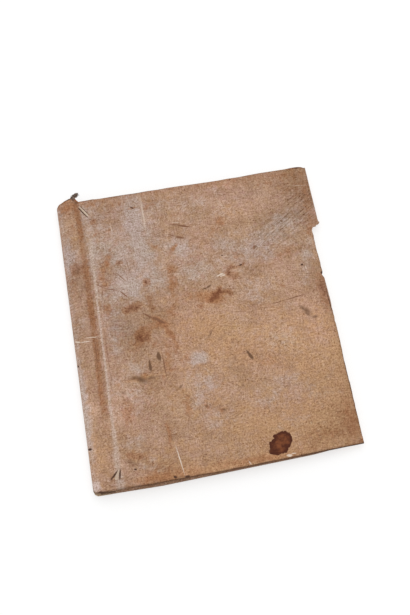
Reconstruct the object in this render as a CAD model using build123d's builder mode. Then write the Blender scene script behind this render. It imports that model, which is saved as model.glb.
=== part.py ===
"""A thin limp-bound manuscript lying on its back cover.

The leaves are five sewn quires that have slumped sideways, so the back of the book
slopes: its lowest fold is far out to the left, and its front joint lies above the text
block.  One skin wraps front, back and spine.  It is modelled as three pieces that meet at
the two joints, each turned in over itself at its folded edges.

Frame: X runs from the back joint to the fore edge, Y along the spine from tail to head,
Z up.  The origin is the middle of the back cover's outer face, on which the book rests.
Working coordinates count from the back joint (x) and from the tail (y), in millimetres.
"""
from build123d import *
import os
from math import cos, degrees, hypot, radians, sin, tan

os.makedirs("parts", exist_ok=True)

# ---- skin ----------------------------------------------------------------------------
skin = 0.85            # thickness of the wrapper's skin
fold_gap = 0.1         # air inside a turned-in edge
turn_in = 14.0         # width of the turned-in margins
mitre_gap = 0.4        # slit where two turned-in margins meet
joint_gap = 0.2        # half the slit between two pieces of the skin at a joint
lie_gap = 0.2          # air between pieces that lie on each other
folded = 2 * skin + fold_gap
fold_radius = folded / 2 - 0.1

# ---- plan sizes of the wrapper -------------------------------------------------------
height = 227.1         # head to tail beside the spine
front_width = 182.1    # front joint to the folded fore edge, half way up
back_width = 180.0     # back joint to its fore edge, half way up
head_skew = 1.4        # degrees that the head edge runs out of square with the spine
tail_skew = 2.5        # the same at the tail
tail_square = 50.0     # stretch of the tail edge beside the spine that is square with it
fore_skew = 1.65       # degrees that the fore edge runs out of line with the spine
cap_rise = 4.4         # how far the spine stands past the covers at the head
torn_strip = 6.3       # width of the strip lost from the front fore edge
torn_length = 176.5    # how far up from the tail it is lost
nick_height = 139.5    # place of the nick in the torn edge, from the tail
# bends of the nick: out of the torn edge, and up from its middle
nick_bends = [(0.0, -3.0), (-1.3, 0.0), (0.0, 1.0)]
# bends of the tear's upper end: out of the folded edge, and up from the end of the loss
tear_bends = [(1.0 - torn_strip, 2.2), (0.0, 4.6), (1.0, 6.0), (0.1, 7.2)]
joint_clear = 12.0     # stretch beside a joint where a cover's skin is not turned in

# ---- text block ----------------------------------------------------------------------
quires = 5             # gatherings in the text block
spine_thickness = 8.6  # all quires at the spine
leaf_width = 173.0     # spine fold to fore edge of one leaf
square = 3.0           # margin of cover beyond the leaves at head and tail
overhang = 2.6         # how far each quire's fore edge stands past the one below
# share of the way from the lowest fold to the uppermost one that each fold has slumped
fold_steps = [0.0, 0.13, 0.34, 0.82, 1.0]
fold_shear = 4.0       # how far the uppermost leaves have moved outwards with the slump
fold_nose = 0.42       # depth of a quire's rounded fold, as a share of its thickness
sag_slope = 0.1        # slope at which leaves sag where nothing lies under them
# share of the spine thickness that is left at each share of the leaf's width
settled = [(0.0, 1.0), (0.25, 0.95), (0.55, 0.84), (0.8, 0.68), (0.93, 0.5), (1.04, 0.3)]

# ---- spine ---------------------------------------------------------------------------
joint_rise = 1.3       # height at which the spine's skin leaves the back joint
spine_inset = 0.35     # back edge of the book to the outer face of the spine's skin
slope_width = 19.3     # back joint to front joint, seen from above
spine_wall = 3.6       # upright stretch of the spine beside the back joint
valley_depth = 1.9     # groove at the front joint, below the ridge beside it
ridge_run = 2.3        # front joint to the top of the ridge
crest_rise = 0.75      # swell of the spine above the bottom of the groove
joint_lip = 0.5        # height of the front joint above the bottom of the groove
ridge_swell = 0.15     # what rounding takes off the top of the ridge
# bends of the spine's skin: share of the slope's width, and height from the crest
spine_bends = [(0.27, -1.4), (0.62, 0.35), (0.9, -0.9)]
# how much rounder than a plain fold each bend of the spine's skin is
spine_softness = [1.5, 4.0, 5.0, 0.2]
# worn ends of the spine: share of the slope's width, and step from its end
spine_tail = [(-0.05, 1.6), (0.2, 1.5), (0.6, 0.6)]
spine_head = [(0.86, 0.0), (0.36, 0.0), (0.12, -1.2), (-0.05, -3.4)]
cap_step = 0.6         # step up from the head edge of the front cover to the spine's skin

# ---- sewing --------------------------------------------------------------------------
supports = 5           # sewing supports across the spine
support_pitch = 41.0   # their spacing
support_shift = 2.0    # how far the middle of the set stands above the middle of the spine
support_width = 3.2
support_thickness = 0.8
support_tab = 12.0     # length of their ends on the text block
thread = 0.4           # sewing thread
wrap_air = 0.09        # air round the thread where it passes over a support
kettle_inset = 17.0    # head and tail kettle stitches, from the ends of the leaves
core_radius = 0.85     # endband core
winding = 0.45         # thread wound round it
winding_turns = 9
winding_air = 0.03     # air between the core and its winding
seat_gap = 0.5         # ends of the leaves to the endbands
core_low_at = (1.6, 2.3)    # lower end of the core, from the lowest fold and the block's foot
core_high_at = (-2.0, -3.4)  # upper end of the core, from the front joint and the groove
slip_width = 1.9       # endband slips laced into the covers
slip_length = 8.0      # stretch of a slip that shows
slip_end = 5.0         # hidden end of a slip
slip_inset = 6.8       # head edge of a cover to the start of its slip
slip_slant = 55.0      # degrees that a slip runs out of square with the spine
slip_proud = 0.12      # how far a slip swells out of the front cover
slit_gap = 0.3         # air each side of a slip in its slit
slip_thickness = 0.6
fray_radius = 0.9      # frayed end of the head core
fray_bend = 1.6        # radius of its bends
fray_gap = 0.4         # head edge to the start of the frayed end
fray_reach = 3.4       # how far it curls past the core's end and past the spine's cap
slit_width = slip_width + 2 * slit_gap
slip_side = 0.2        # front joint to the slit of the head slip, beyond their own gaps
slip_air = 0.05        # air between the hidden end of a slip and the skin over it
slip_start = 1.0       # short hidden end of a slip
back_slip_inset = 4.2  # back joint's pivot to the start of the slips in the back cover

# ---- heights that follow -------------------------------------------------------------
block_bottom = folded + lie_gap
block_top = block_bottom + spine_thickness
ridge_top = block_top + lie_gap + folded
valley = ridge_top - valley_depth
crest = valley + crest_rise
ridge_x = slope_width + ridge_run
back_pivot_x = 0.8
back_pivot_z = 1.0
pivot_drop = 0.3       # front joint's pivot below the top of the ridge
origin_x = back_pivot_x + back_width / 2
origin_y = height / 2
cap_y = height + cap_rise
reach = 2 * height     # longer than any piece

section = Plane(origin=(-origin_x, 0, 0), x_dir=(1, 0, 0), z_dir=(0, -1, 0))
table = Plane(origin=(-origin_x, -origin_y, 0))
under = table.offset(-skin)   # cuts that go through everything start here


# ---- edges of the covers, as seen from above -----------------------------------------
def head_y(x):
    """Head edge of both covers."""
    return height + (x - slope_width) * tan(radians(head_skew))


def tail_y(x):
    """Tail edge of both covers."""
    return max(x - tail_square, 0) * tan(radians(tail_skew))


def fore_x(y, width, start):
    """Fore edge of a cover that is `width` wide from the joint at x = `start`."""
    return start + width - (y - height / 2) * tan(radians(fore_skew))


# ---- skin lines in the X-Z section ---------------------------------------------------
def parallel(points, depth):
    """Corner points of a broken line moved inwards, to its right, by `depth`."""
    moved = []
    for i, (x, z) in enumerate(points):
        before = points[max(i - 1, 0)], points[max(i, 1)]
        after = points[min(i, len(points) - 2)], points[min(i + 1, len(points) - 1)]
        normals = []
        for a, b in (before, after):
            run = hypot(b[0] - a[0], b[1] - a[1])
            normals.append(((b[1] - a[1]) / run, -(b[0] - a[0]) / run))
        (n1x, n1z), (n2x, n2z) = normals
        share = depth / (1 + n1x * n2x + n1z * n2z)
        moved.append((x + share * (n1x + n2x), z + share * (n1z + n2z)))
    return moved


def parallel_rounds(points, rounds, depth):
    """Corner radii of that moved line: less on an outward bend, more on an inward one."""
    moved = []
    for a, b, c, r in zip(points, points[1:], points[2:], rounds):
        turn = (b[0] - a[0]) * (c[1] - b[1]) - (b[1] - a[1]) * (c[0] - b[0])
        moved.append(r + depth if turn > 0 else r - depth)
    return moved


def band(points, rounds, top, bottom):
    """Face of the layer between two depths under a skin line."""
    upper, lower = parallel(points, top), parallel(points, bottom)
    with BuildLine() as outline:
        FilletPolyline(*upper, radius=parallel_rounds(points, rounds, top))
        FilletPolyline(*lower, radius=parallel_rounds(points, rounds, bottom))
        Line(upper[0], lower[0])
        Line(upper[-1], lower[-1])
    make_face(outline.edges())


def draped(line, rounds, top, bottom, draw_outline):
    """Layer between two depths under a skin line, cut to an outline seen from above."""
    with BuildPart() as layer:
        with BuildSketch(section):
            band(line, rounds, top, bottom)
        extrude(amount=reach, both=True)
        with BuildSketch(under):
            draw_outline()
        extrude(amount=reach, mode=Mode.INTERSECT)
    return layer.part


def leaf_top(x):
    """Height of the text block's top face at x."""
    share = (x - ridge_x) / leaf_width
    for (s0, t0), (s1, t1) in zip(settled, settled[1:]):
        if share <= s1 or (s1, t1) == settled[-1]:
            return block_bottom + spine_thickness * (t0 + (t1 - t0) * (share - s0) / (s1 - s0))


fold_round = folded + 0.5   # least radius of an outward bend
spine_line = [(spine_inset, joint_rise), (spine_inset, joint_rise + spine_wall)]
spine_line += [(slope_width * share, crest + rise) for share, rise in spine_bends]
spine_line.append((slope_width - joint_gap, valley + joint_lip))
spine_rounds = [fold_round + extra for extra in spine_softness]
front_line = [(slope_width + joint_gap, valley + joint_lip + joint_gap)]
front_line.append((ridge_x, ridge_top + ridge_swell))
for share, _ in settled[1:]:
    station = ridge_x + share * leaf_width
    front_line.append((station, leaf_top(station) + lie_gap + folded))
front_rounds = [fold_round] + [leaf_width * 0.1] * (len(settled) - 2)


# ---- outlines seen from above --------------------------------------------------------
back_fore_head = fore_x(height, back_width, back_pivot_x)
back_fore_tail = fore_x(0, back_width, back_pivot_x)


def outlined(corners):
    """Face with straight edges through the given corners."""
    with BuildLine() as outline:
        Polyline(*corners, close=True)
    make_face(outline.edges())


def front_edge(y):
    """Folded fore edge of the front cover at y, with the torn strip still in place."""
    return fore_x(y, front_width, slope_width)


def torn_edge(y):
    """Torn fore edge of the front cover at y."""
    return front_edge(y) - torn_strip


def front_outline(inset=0.0):
    """Front cover; `inset` draws it inside its folded edges and on past its joint."""
    start = slope_width - 5 * inset
    tear = torn_length
    corner = front_edge(height)
    nick = [(torn_edge(nick_height + up) + out, nick_height + up) for out, up in nick_bends]
    spur = [(front_edge(tear) + out - inset * (out > -1), tear + up) for out, up in tear_bends]
    outlined(
        [
            (start, tail_y(slope_width) + inset),
            (tail_square, tail_y(tail_square) + inset),
            (torn_edge(0), tail_y(torn_edge(0)) + inset),
            *nick,
            (torn_edge(tear), tear),
            *spur,
            (corner - inset, head_y(corner) - inset),
            (start, head_y(slope_width) - inset),
        ]
    )


def back_outline(inset=0.0):
    """Back cover; `inset` draws it inside its folded edges and on past its joint."""
    start = 2 * back_pivot_x - 5 * inset
    outlined(
        [
            (start, tail_y(start) + inset),
            (tail_square, tail_y(tail_square) + inset),
            (back_fore_tail - inset, tail_y(back_fore_tail) + inset),
            (back_fore_head - inset, head_y(back_fore_head) - inset),
            (start, head_y(start) - inset),
        ]
    )


def spine_outline(inset=0.0):
    """Spine's skin, worn round at its ends; at the head it caps the book."""
    end = slope_width - joint_gap + 5 * inset
    outlined(
        [
            *((slope_width * share, step + inset) for share, step in spine_tail),
            (end, inset),
            (end, head_y(slope_width) + cap_step - inset),
            *((slope_width * share, cap_y + step - inset) for share, step in spine_head),
        ]
    )


def slip_strip(start, slant, low, high, width):
    """A slip: it runs from `low` to `high` along a line that leaves `start`."""
    middle = (low + high) / 2
    with Locations((start[0] + middle * cos(slant), start[1] + middle * sin(slant))):
        Rectangle(high - low, width, rotation=degrees(slant))


def mitre_slit(corner_x, corner_y, side):
    """Slit between two turned-in margins at a corner; `side` is 1 at the tail, -1 at the head."""
    middle = turn_in / 2 + skin
    with Locations((corner_x - middle, corner_y + side * middle)):
        Rectangle(turn_in * 1.6, mitre_gap, rotation=-45 * side)


# ---- covers --------------------------------------------------------------------------
def front_window():
    """Where the front cover's turned-in layer is missing: leaves, torn edge and joint."""
    start = slope_width + joint_clear
    inner_tail = front_edge(0) - turn_in
    inner_head = front_edge(height) - turn_in
    cut_tail = torn_edge(0)
    outlined(
        [
            (start, turn_in),
            (tail_square, turn_in),
            (inner_tail, tail_y(inner_tail) + turn_in),
            (cut_tail, tail_y(cut_tail) + turn_in - (cut_tail - inner_tail)),
            (cut_tail + turn_in, tail_y(cut_tail)),
            (cut_tail + turn_in, torn_length - turn_in / 4),
            (torn_edge(torn_length), torn_length),
            (front_edge(torn_length) - turn_in, torn_length - joint_gap),
            (inner_head, head_y(inner_head) - turn_in),
            (start, head_y(start) - turn_in),
        ]
    )
    with Locations((start - turn_in / 2, origin_y)):
        Rectangle(turn_in, reach)
    mitre_slit(front_edge(height), head_y(front_edge(height)), -1)


head_slant = radians(-slip_slant)
head_slip = (slope_width + joint_gap + slit_width / 2 + slit_gap + slip_side, height - slip_inset)
with BuildPart() as front_slit:
    with BuildSketch(under):
        slip_strip(head_slip, head_slant, -slit_gap, slip_length + slit_gap, slit_width)
    extrude(amount=reach)

air_top = skin
air_bottom = skin + fold_gap
layer_top = skin + fold_gap / 2
layer_bottom = folded + lie_gap
with BuildPart() as front_cover:
    add(draped(front_line, front_rounds, 0, folded, front_outline))
    end_walls = front_cover.faces().filter_by(lambda wall: abs(wall.normal_at().Y) > 0.9)
    head_wall = end_walls.sort_by(Axis.Y)[-1]
    tail_walls = end_walls.sort_by(Axis.Y)[:2]
    fore_walls = front_cover.faces().filter_by(lambda wall: wall.normal_at().X > 0.9)
    fold_walls = fore_walls.filter_by(lambda wall: wall.center().Y > torn_length - origin_y)
    folded_edges = ShapeList()
    for wall in [head_wall, *tail_walls, *fold_walls.sort_by(SortBy.AREA)[-1:]]:
        folded_edges += wall.edges().filter_by(Axis.Z, reverse=True)
    fillet(folded_edges, fold_radius)
    pocket = draped(front_line, front_rounds, air_top, air_bottom, lambda: front_outline(skin))
    add(pocket, mode=Mode.SUBTRACT)
    add(draped(front_line, front_rounds, layer_top, layer_bottom, front_window), mode=Mode.SUBTRACT)
    add(front_slit.part, mode=Mode.SUBTRACT)
front_cover.part.label = "front_cover"
export_step(front_cover.part, "parts/front_cover.step")


# spine: the skin from the back joint over the slumped folds to the front joint
def spine_window():
    """Where the spine's turned-in layer is cut away: middle, and beside the laced slips."""
    notch = slope_width * 0.62
    outlined(
        [
            (-turn_in, turn_in),
            (notch, turn_in),
            (notch, -turn_in),
            (slope_width + turn_in, -turn_in),
            (slope_width + turn_in, cap_y + turn_in),
            (notch, cap_y + turn_in),
            (notch, cap_y - turn_in),
            (-turn_in, cap_y - turn_in),
        ]
    )


tail_slant = radians(slip_slant + 10)
tail_slip_length = slip_length * 0.8
tail_slip_x = slope_width - 1.3 - tail_slip_length * cos(tail_slant)
tail_slip = (tail_slip_x, slip_inset + slip_width / 2)
with BuildPart() as spine_slit:
    with BuildSketch(under):
        slip_strip(tail_slip, tail_slant, -slit_gap, tail_slip_length + slit_gap, slit_width)
    extrude(amount=reach)

with BuildPart() as spine_cover:
    add(draped(spine_line, spine_rounds, 0, folded, spine_outline))
    pocket = draped(spine_line, spine_rounds, air_top, air_bottom, lambda: spine_outline(skin))
    add(pocket, mode=Mode.SUBTRACT)
    add(draped(spine_line, spine_rounds, layer_top, layer_bottom, spine_window), mode=Mode.SUBTRACT)
    add(spine_slit.part, mode=Mode.SUBTRACT)
spine_cover.part.label = "spine_cover"
export_step(spine_cover.part, "parts/spine_cover.step")

# back cover: flat on the table, folded in on three sides
back_window_x = back_pivot_x + joint_clear
back_inner_tail = back_fore_tail - turn_in
back_inner_head = back_fore_head - turn_in
with BuildPart() as back_pocket:
    with BuildSketch(table.offset(air_top)):
        back_outline(skin)
    extrude(amount=fold_gap)

with BuildPart() as back_window:
    with BuildSketch(table.offset(layer_top)):
        outlined(
            [
                (back_window_x, turn_in),
                (tail_square, turn_in),
                (back_inner_tail, tail_y(back_inner_tail) + turn_in),
                (back_inner_head, head_y(back_inner_head) - turn_in),
                (back_window_x, head_y(back_window_x) - turn_in),
            ]
        )
        with Locations((back_window_x - turn_in, origin_y)):
            Rectangle(2 * turn_in, reach)
        mitre_slit(back_fore_head, head_y(back_fore_head), -1)
        mitre_slit(back_fore_tail, tail_y(back_fore_tail), 1)
    extrude(amount=folded)

back_slips = {
    "head_slip_back": ((back_pivot_x + back_slip_inset, height - slip_inset), head_slant),
    "tail_slip_back": ((back_pivot_x + back_slip_inset, slip_inset), -head_slant),
}
with BuildPart() as back_slits:
    with BuildSketch(under):
        for start, slant in back_slips.values():
            slip_strip(start, slant, -slit_gap, slip_length + slit_gap, slit_width)
    extrude(amount=reach)

with BuildPart() as back_cover:
    with BuildSketch(table):
        back_outline()
    extrude(amount=folded)
    level_edges = back_cover.edges().filter_by(Axis.Z, reverse=True)
    fillet(level_edges.sort_by(Axis.X)[2:], fold_radius)
    add(back_pocket.part, mode=Mode.SUBTRACT)
    add(back_window.part, mode=Mode.SUBTRACT)
    add(back_slits.part, mode=Mode.SUBTRACT)
back_cover.part.label = "back_cover"
export_step(back_cover.part, "parts/back_cover.step")


# ---- text block ----------------------------------------------------------------------
# Each quire is a rounded fold and a stack of leaves; the folds step back with the slope.
first_fold = spine_inset + folded + support_thickness + thread
last_fold = ridge_x + 1.2


block_bends = [ridge_x + share * leaf_width for share, _ in settled]
block_bends = sorted(block_bends + [first_fold + leaf_width])
nose = fold_nose * spine_thickness / quires


def level(number, x):
    """Height of the boundary above quire `number`, counted from the block's underside."""
    top = leaf_top(max(x, ridge_x))
    sag = max(x - (first_fold + leaf_width), 0) * sag_slope
    return block_bottom - sag + (top - block_bottom + sag) * number / quires


def boundary(number, start, end):
    """Line of that boundary between two places; neighbouring quires share its bends."""
    places = [start] + [x for x in block_bends if start < x < end] + [end]
    return [(x, level(number, x)) for x in places]


def quire_face(number):
    """Section of one quire: a rounded fold, then its leaves out to a stepped fore edge."""
    step = fold_steps[number]
    fold_x = first_fold + step * (last_fold - first_fold)
    end_x = first_fold + leaf_width + number * overhang + step * fold_shear
    lower = boundary(number, fold_x + nose, end_x)
    upper = boundary(number + 1, fold_x + nose, end_x)
    with BuildLine() as outline:
        Polyline(*lower)
        Polyline(*upper)
        ThreePointArc(lower[0], (fold_x, (lower[0][1] + upper[0][1]) / 2), upper[0])
        Line(lower[-1], upper[-1])
    make_face(outline.edges())


with BuildPart() as text_block:
    with BuildSketch(section):
        for number in range(quires):
            quire_face(number)
    extrude(amount=reach, both=True)
    with BuildSketch(under):
        far = slope_width + 1.2 * front_width
        outlined(
            [
                (-turn_in, tail_y(0) + square),
                (tail_square, tail_y(tail_square) + square),
                (far, tail_y(far) + square),
                (far, head_y(far) - square),
                (-turn_in, head_y(-turn_in) - square),
            ]
        )
    extrude(amount=reach, mode=Mode.INTERSECT)
text_block.part.label = "text_block"
export_step(text_block.part, "parts/text_block.step")


# ---- sewing --------------------------------------------------------------------------
# A support follows the folds under the skin, and its ends lie on and under the text block.
strap_depth = skin + thread + 2 * wrap_air
strap_turn = support_thickness + thread
strap_line = parallel(spine_line, strap_depth)
strap_rounds = parallel_rounds(spine_line, spine_rounds, strap_depth)
tab_x = ridge_x + support_tab
tab_gap = lie_gap / 4
shoulder = (ridge_x + 0.4, leaf_top(ridge_x) + tab_gap + support_thickness)
strap_bottom = skin + 3 * tab_gap
under_tab = [(back_pivot_x + support_tab, strap_bottom), (strap_line[0][0], strap_bottom)]
over_tab = [shoulder, (tab_x, leaf_top(tab_x) + tab_gap + support_thickness)]
strap_line = under_tab + strap_line[1:-1] + over_tab
strap_rounds = [strap_turn] + strap_rounds + [strap_turn]
first_support = origin_y + support_shift - support_pitch * (supports - 1) / 2
support_places = [first_support + support_pitch * number for number in range(supports)]


def cross_strip(middle):
    """Strip as wide as a support that runs across the spine at y = middle."""
    with Locations((slope_width, middle)):
        Rectangle(8 * slope_width, support_width)


for number, place in enumerate(support_places, start=1):
    with BuildPart() as support:
        add(draped(strap_line, strap_rounds, 0, support_thickness, lambda: cross_strip(place)))
    support.part.label = f"sewing_support_{number}"
    export_step(support.part, f"parts/sewing_support_{number}.step")

# the thread goes over each support once between two bends, and links the quires in a
# line of kettle stitches at head and tail
wrap_top = thread + wrap_air
wrap_inner = support_width / 2 + wrap_air
wrap_foot = -support_thickness - wrap_air
with BuildPart() as sewing_thread:
    wrapped = strap_line[1:-1]
    for start, finish in zip(wrapped, wrapped[1:]):
        middle = ((start[0] + finish[0]) / 2, (start[1] + finish[1]) / 2)
        for place in support_places:
            wrap = Plane(
                origin=(middle[0] - origin_x, place - origin_y, middle[1]),
                x_dir=(0, 1, 0),
                z_dir=(finish[0] - start[0], 0, finish[1] - start[1]),
            )
            with BuildSketch(wrap):
                outlined(
                    [
                        (-wrap_inner - thread, wrap_foot),
                        (-wrap_inner - thread, wrap_top),
                        (wrap_inner + thread, wrap_top),
                        (wrap_inner + thread, wrap_foot),
                        (wrap_inner, wrap_foot),
                        (wrap_inner, wrap_top - thread),
                        (-wrap_inner, wrap_top - thread),
                        (-wrap_inner, wrap_foot),
                    ]
                )
            extrude(amount=thread / 2, both=True)
    for place in (kettle_inset, height - kettle_inset):
        with BuildSketch(section.offset(origin_y - place - thread / 2)):
            band(spine_line, spine_rounds, strap_depth, strap_depth + thread)
        extrude(amount=thread)
sewing_thread.part.label = "sewing_thread"
export_step(sewing_thread.part, "parts/sewing_thread.step")

# ---- endbands ------------------------------------------------------------------------
# A core lies along the slope on the ends of the leaves, with thread wound round it.
core_low = (first_fold + core_low_at[0], block_bottom + core_low_at[1])
core_high = (slope_width + core_high_at[0], valley + core_high_at[1])
core_run = hypot(core_high[0] - core_low[0], core_high[1] - core_low[1])
core_along = (core_high[0] - core_low[0], 0, core_high[1] - core_low[1])
band_radius = core_radius + winding
seat = band_radius + seat_gap
core_seats = {
    "head": head_y(0) - square + seat,
    "tail": tail_y(0) + square - seat,
}
wound = core_run - 4 * winding
turn = wound / winding_turns
bore = core_radius + winding_air
shoulder_radius = band_radius - winding / 2
for end, seat_y in core_seats.items():
    start_point = (core_low[0] - origin_x, seat_y - origin_y, core_low[1])
    with BuildPart() as core:
        with BuildSketch(Plane(origin=start_point, x_dir=(0, 1, 0), z_dir=core_along)):
            Circle(core_radius)
        extrude(amount=core_run)
    core.part.label = f"{end}_endband_core"
    export_step(core.part, f"parts/{end}_endband_core.step")

    # the winding: one rounded turn of thread after another
    turning = Plane(origin=start_point, x_dir=core_along, z_dir=(0, -1, 0))
    with BuildPart() as wound_thread:
        with BuildSketch(turning):
            with BuildLine() as outline:
                start = 2 * winding
                Line((start, bore), (start, shoulder_radius))
                for number in range(winding_turns):
                    left = start + number * turn
                    ThreePointArc(
                        (left, shoulder_radius),
                        (left + turn / 2, band_radius),
                        (left + turn, shoulder_radius),
                    )
                Line((start + wound, shoulder_radius), (start + wound, bore))
                Line((start + wound, bore), (start, bore))
            make_face(outline.edges())
        revolve(axis=Axis(turning.origin, turning.x_dir))
    wound_thread.part.label = f"{end}_endband_winding"
    export_step(wound_thread.part, f"parts/{end}_endband_winding.step")


# ---- laced slips ---------------------------------------------------------------------
# A slip shows in its slit, and its hidden ends lie under the skin.
def lace(name, line, rounds, start, slant, proud, shown, ends):
    """Slip laced through draped skin, `proud` of it; `ends` are its hidden lengths."""
    hidden_top = skin + slip_air
    hidden_bottom = hidden_top + slip_thickness
    with BuildPart() as slip:
        show = lambda: slip_strip(start, slant, 0, shown, slip_width)
        hide = lambda: slip_strip(start, slant, -ends[0], shown + ends[1], slip_width)
        add(draped(line, rounds, -proud, hidden_top, show))
        add(draped(line, rounds, hidden_top, hidden_bottom, hide))
    slip.part.label = name
    export_step(slip.part, f"parts/{name}.step")


front_ends = (slip_start, slip_end)
spine_ends = (slip_end, slit_gap)
lace(
    "head_slip_front", front_line, front_rounds,
    head_slip, head_slant, slip_proud, slip_length, front_ends,
)
lace(
    "tail_slip_front", spine_line, spine_rounds,
    tail_slip, tail_slant, 0, tail_slip_length, spine_ends,
)

# slips in the back cover: each is let into the skin, so that the outer face stays flat
for name, (start, slant) in back_slips.items():
    with BuildPart() as back_slip:
        with BuildSketch(table.offset(slip_air)):
            slip_strip(start, slant, 0, slip_length, slip_width)
        extrude(amount=skin)
        with BuildSketch(table.offset(skin + slip_air)):
            slip_strip(start, slant, -slip_start, slip_length + slip_end, slip_width)
        extrude(amount=slip_thickness)
    back_slip.part.label = name
    export_step(back_slip.part, f"parts/{name}.step")

# ---- frayed end ----------------------------------------------------------------------
# The head core's broken end curls out between the spine's cap and the front joint.
fray_points = [
    (core_high[0] - fray_reach, height + fray_gap, core_high[1] - fray_gap),
    (core_high[0] - fray_reach + 1.0, cap_y + fray_radius, core_high[1]),
    (core_high[0] + fray_gap, cap_y + 0.7 * fray_reach, crest - 2.0),
    (core_high[0] + fray_reach, cap_y + fray_reach, crest - 0.8),
]
fray_places = [(x - origin_x, y - origin_y, z) for x, y, z in fray_points]
with BuildPart() as frayed_core_end:
    with BuildLine() as curl:
        FilletPolyline(*fray_places, radius=fray_bend)
    with BuildSketch(Plane(origin=curl.line @ 0, z_dir=curl.line % 0)):
        Circle(fray_radius)
    sweep()
frayed_core_end.part.label = "frayed_core_end"
export_step(frayed_core_end.part, "parts/frayed_core_end.step")

# middles of the two joints, about which the covers open
print(f"front joint: x {slope_width - origin_x:.1f}, z {ridge_top - pivot_drop:.1f}")
print(f"back joint: x {back_pivot_x - origin_x:.1f}, z {back_pivot_z:.1f}")
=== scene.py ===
"""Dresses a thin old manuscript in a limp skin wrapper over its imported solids.

Places are given in millimetres on the book: x from its back edge towards the fore edge, y
along the spine from tail to head, z up from the table.  BookPlace turns them into metres in
the row frame, from the boxes of the solids.
"""

import logging
import math
from dataclasses import dataclass, field
from enum import Enum
from typing import ClassVar

import bpy
import numpy as np
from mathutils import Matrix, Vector

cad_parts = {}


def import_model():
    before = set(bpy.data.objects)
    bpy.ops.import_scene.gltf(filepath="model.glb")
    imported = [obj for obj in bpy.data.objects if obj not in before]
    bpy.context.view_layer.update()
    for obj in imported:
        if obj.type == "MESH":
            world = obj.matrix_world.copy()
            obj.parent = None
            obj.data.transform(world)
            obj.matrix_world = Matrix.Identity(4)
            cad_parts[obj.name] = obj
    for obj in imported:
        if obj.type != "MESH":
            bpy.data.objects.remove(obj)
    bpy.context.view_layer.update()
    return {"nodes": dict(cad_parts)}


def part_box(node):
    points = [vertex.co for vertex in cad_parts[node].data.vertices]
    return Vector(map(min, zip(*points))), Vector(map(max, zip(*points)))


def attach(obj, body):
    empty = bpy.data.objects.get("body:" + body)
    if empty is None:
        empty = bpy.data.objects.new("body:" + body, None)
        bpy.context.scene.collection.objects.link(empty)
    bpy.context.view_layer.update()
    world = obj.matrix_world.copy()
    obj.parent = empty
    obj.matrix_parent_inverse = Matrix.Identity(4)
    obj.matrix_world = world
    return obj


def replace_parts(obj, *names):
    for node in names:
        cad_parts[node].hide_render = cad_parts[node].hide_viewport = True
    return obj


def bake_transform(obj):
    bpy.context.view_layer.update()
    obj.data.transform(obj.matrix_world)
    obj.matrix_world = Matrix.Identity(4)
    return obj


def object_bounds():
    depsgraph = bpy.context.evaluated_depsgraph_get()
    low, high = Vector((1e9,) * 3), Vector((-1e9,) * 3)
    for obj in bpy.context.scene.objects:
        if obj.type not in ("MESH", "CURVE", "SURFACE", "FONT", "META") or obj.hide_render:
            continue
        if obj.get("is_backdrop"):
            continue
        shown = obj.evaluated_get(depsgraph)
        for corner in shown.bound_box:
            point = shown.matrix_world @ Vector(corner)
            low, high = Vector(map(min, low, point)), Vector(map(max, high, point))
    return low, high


log = logging.getLogger("manuscript")

Array = np.ndarray
Socket = bpy.types.NodeSocket
Bends = tuple[tuple[float, float], ...]
Colour = tuple[float, float, float]
Place = tuple[float, float, float]

METRE = 1000.0  # millimetres in a metre
FLAT_SPAN = 256.0  # millimetres of skin across one unit of its flat map
FLAT_NAME = "FlatSkin"
LATTICE = 256  # random values along each side of the noise's lattice

HEIGHT = 227.1  # covers from tail to head beside the spine, in millimetres
HALF_HEIGHT = 113.55
FRONT_JOINT = 19.3  # back edge of the book to the front joint
TAIL_SQUARE = 50.0  # stretch of the tail edge that is square with the spine
HEAD_SLANT = math.tan(math.radians(1.4))
TAIL_SLANT = math.tan(math.radians(2.5))
FORE_SLANT = math.tan(math.radians(1.65))


# ---- sums ----
def display(red: float, green: float, blue: float) -> Colour:
    """Linear colour of a display colour.

    Args:
        red: share of red, 0 to 255.
        green: share of green.
        blue: share of blue.

    Returns:
        The colour as shaders take it: each share raised along the display's curve.
    """
    shares = np.array([red, green, blue]) / 255
    linear = np.where(shares <= 0.04045, shares / 12.92, ((shares + 0.055) / 1.055) ** 2.4)
    return tuple(float(share) for share in linear)


def soft_step(value: Array, low: float, high: float) -> Array:
    """0 below `low`, 1 above `high`, and the cubic 3t^2 - 2t^3 between them."""
    share = np.clip((np.asarray(value, float) - low) / (high - low), 0, 1)
    return share * share * (3 - 2 * share)


def bend_line(at: Array, bends: Bends) -> Array:
    """Straight runs between bends (place, value), read at the given places."""
    places, values = zip(*bends)
    return np.interp(at, places, values)


def lattice_noise(x: Array, y: Array, cell: float, seed: int) -> Array:
    """Smooth noise over the plane.

    Args:
        x: places across, in millimetres.
        y: places along.
        cell: distance between the lattice's random values.
        seed: number that fixes the lattice.

    Returns:
        Values from -1 to 1: the four random values round each place, blended by the cubic
        step of its share of the cell across and along.
    """
    lattice = np.random.default_rng(seed).uniform(-1, 1, (LATTICE, LATTICE))
    x, y = np.broadcast_arrays(np.asarray(x, float), np.asarray(y, float))
    column, row = np.floor(x / cell).astype(int), np.floor(y / cell).astype(int)
    across = soft_step(x / cell - column, 0, 1)
    along = soft_step(y / cell - row, 0, 1)
    left, right = column % LATTICE, (column + 1) % LATTICE
    near, far = (
        lattice[line % LATTICE, left] * (1 - across) + lattice[line % LATTICE, right] * across
        for line in (row, row + 1)
    )
    return near * (1 - along) + far * along


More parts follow.
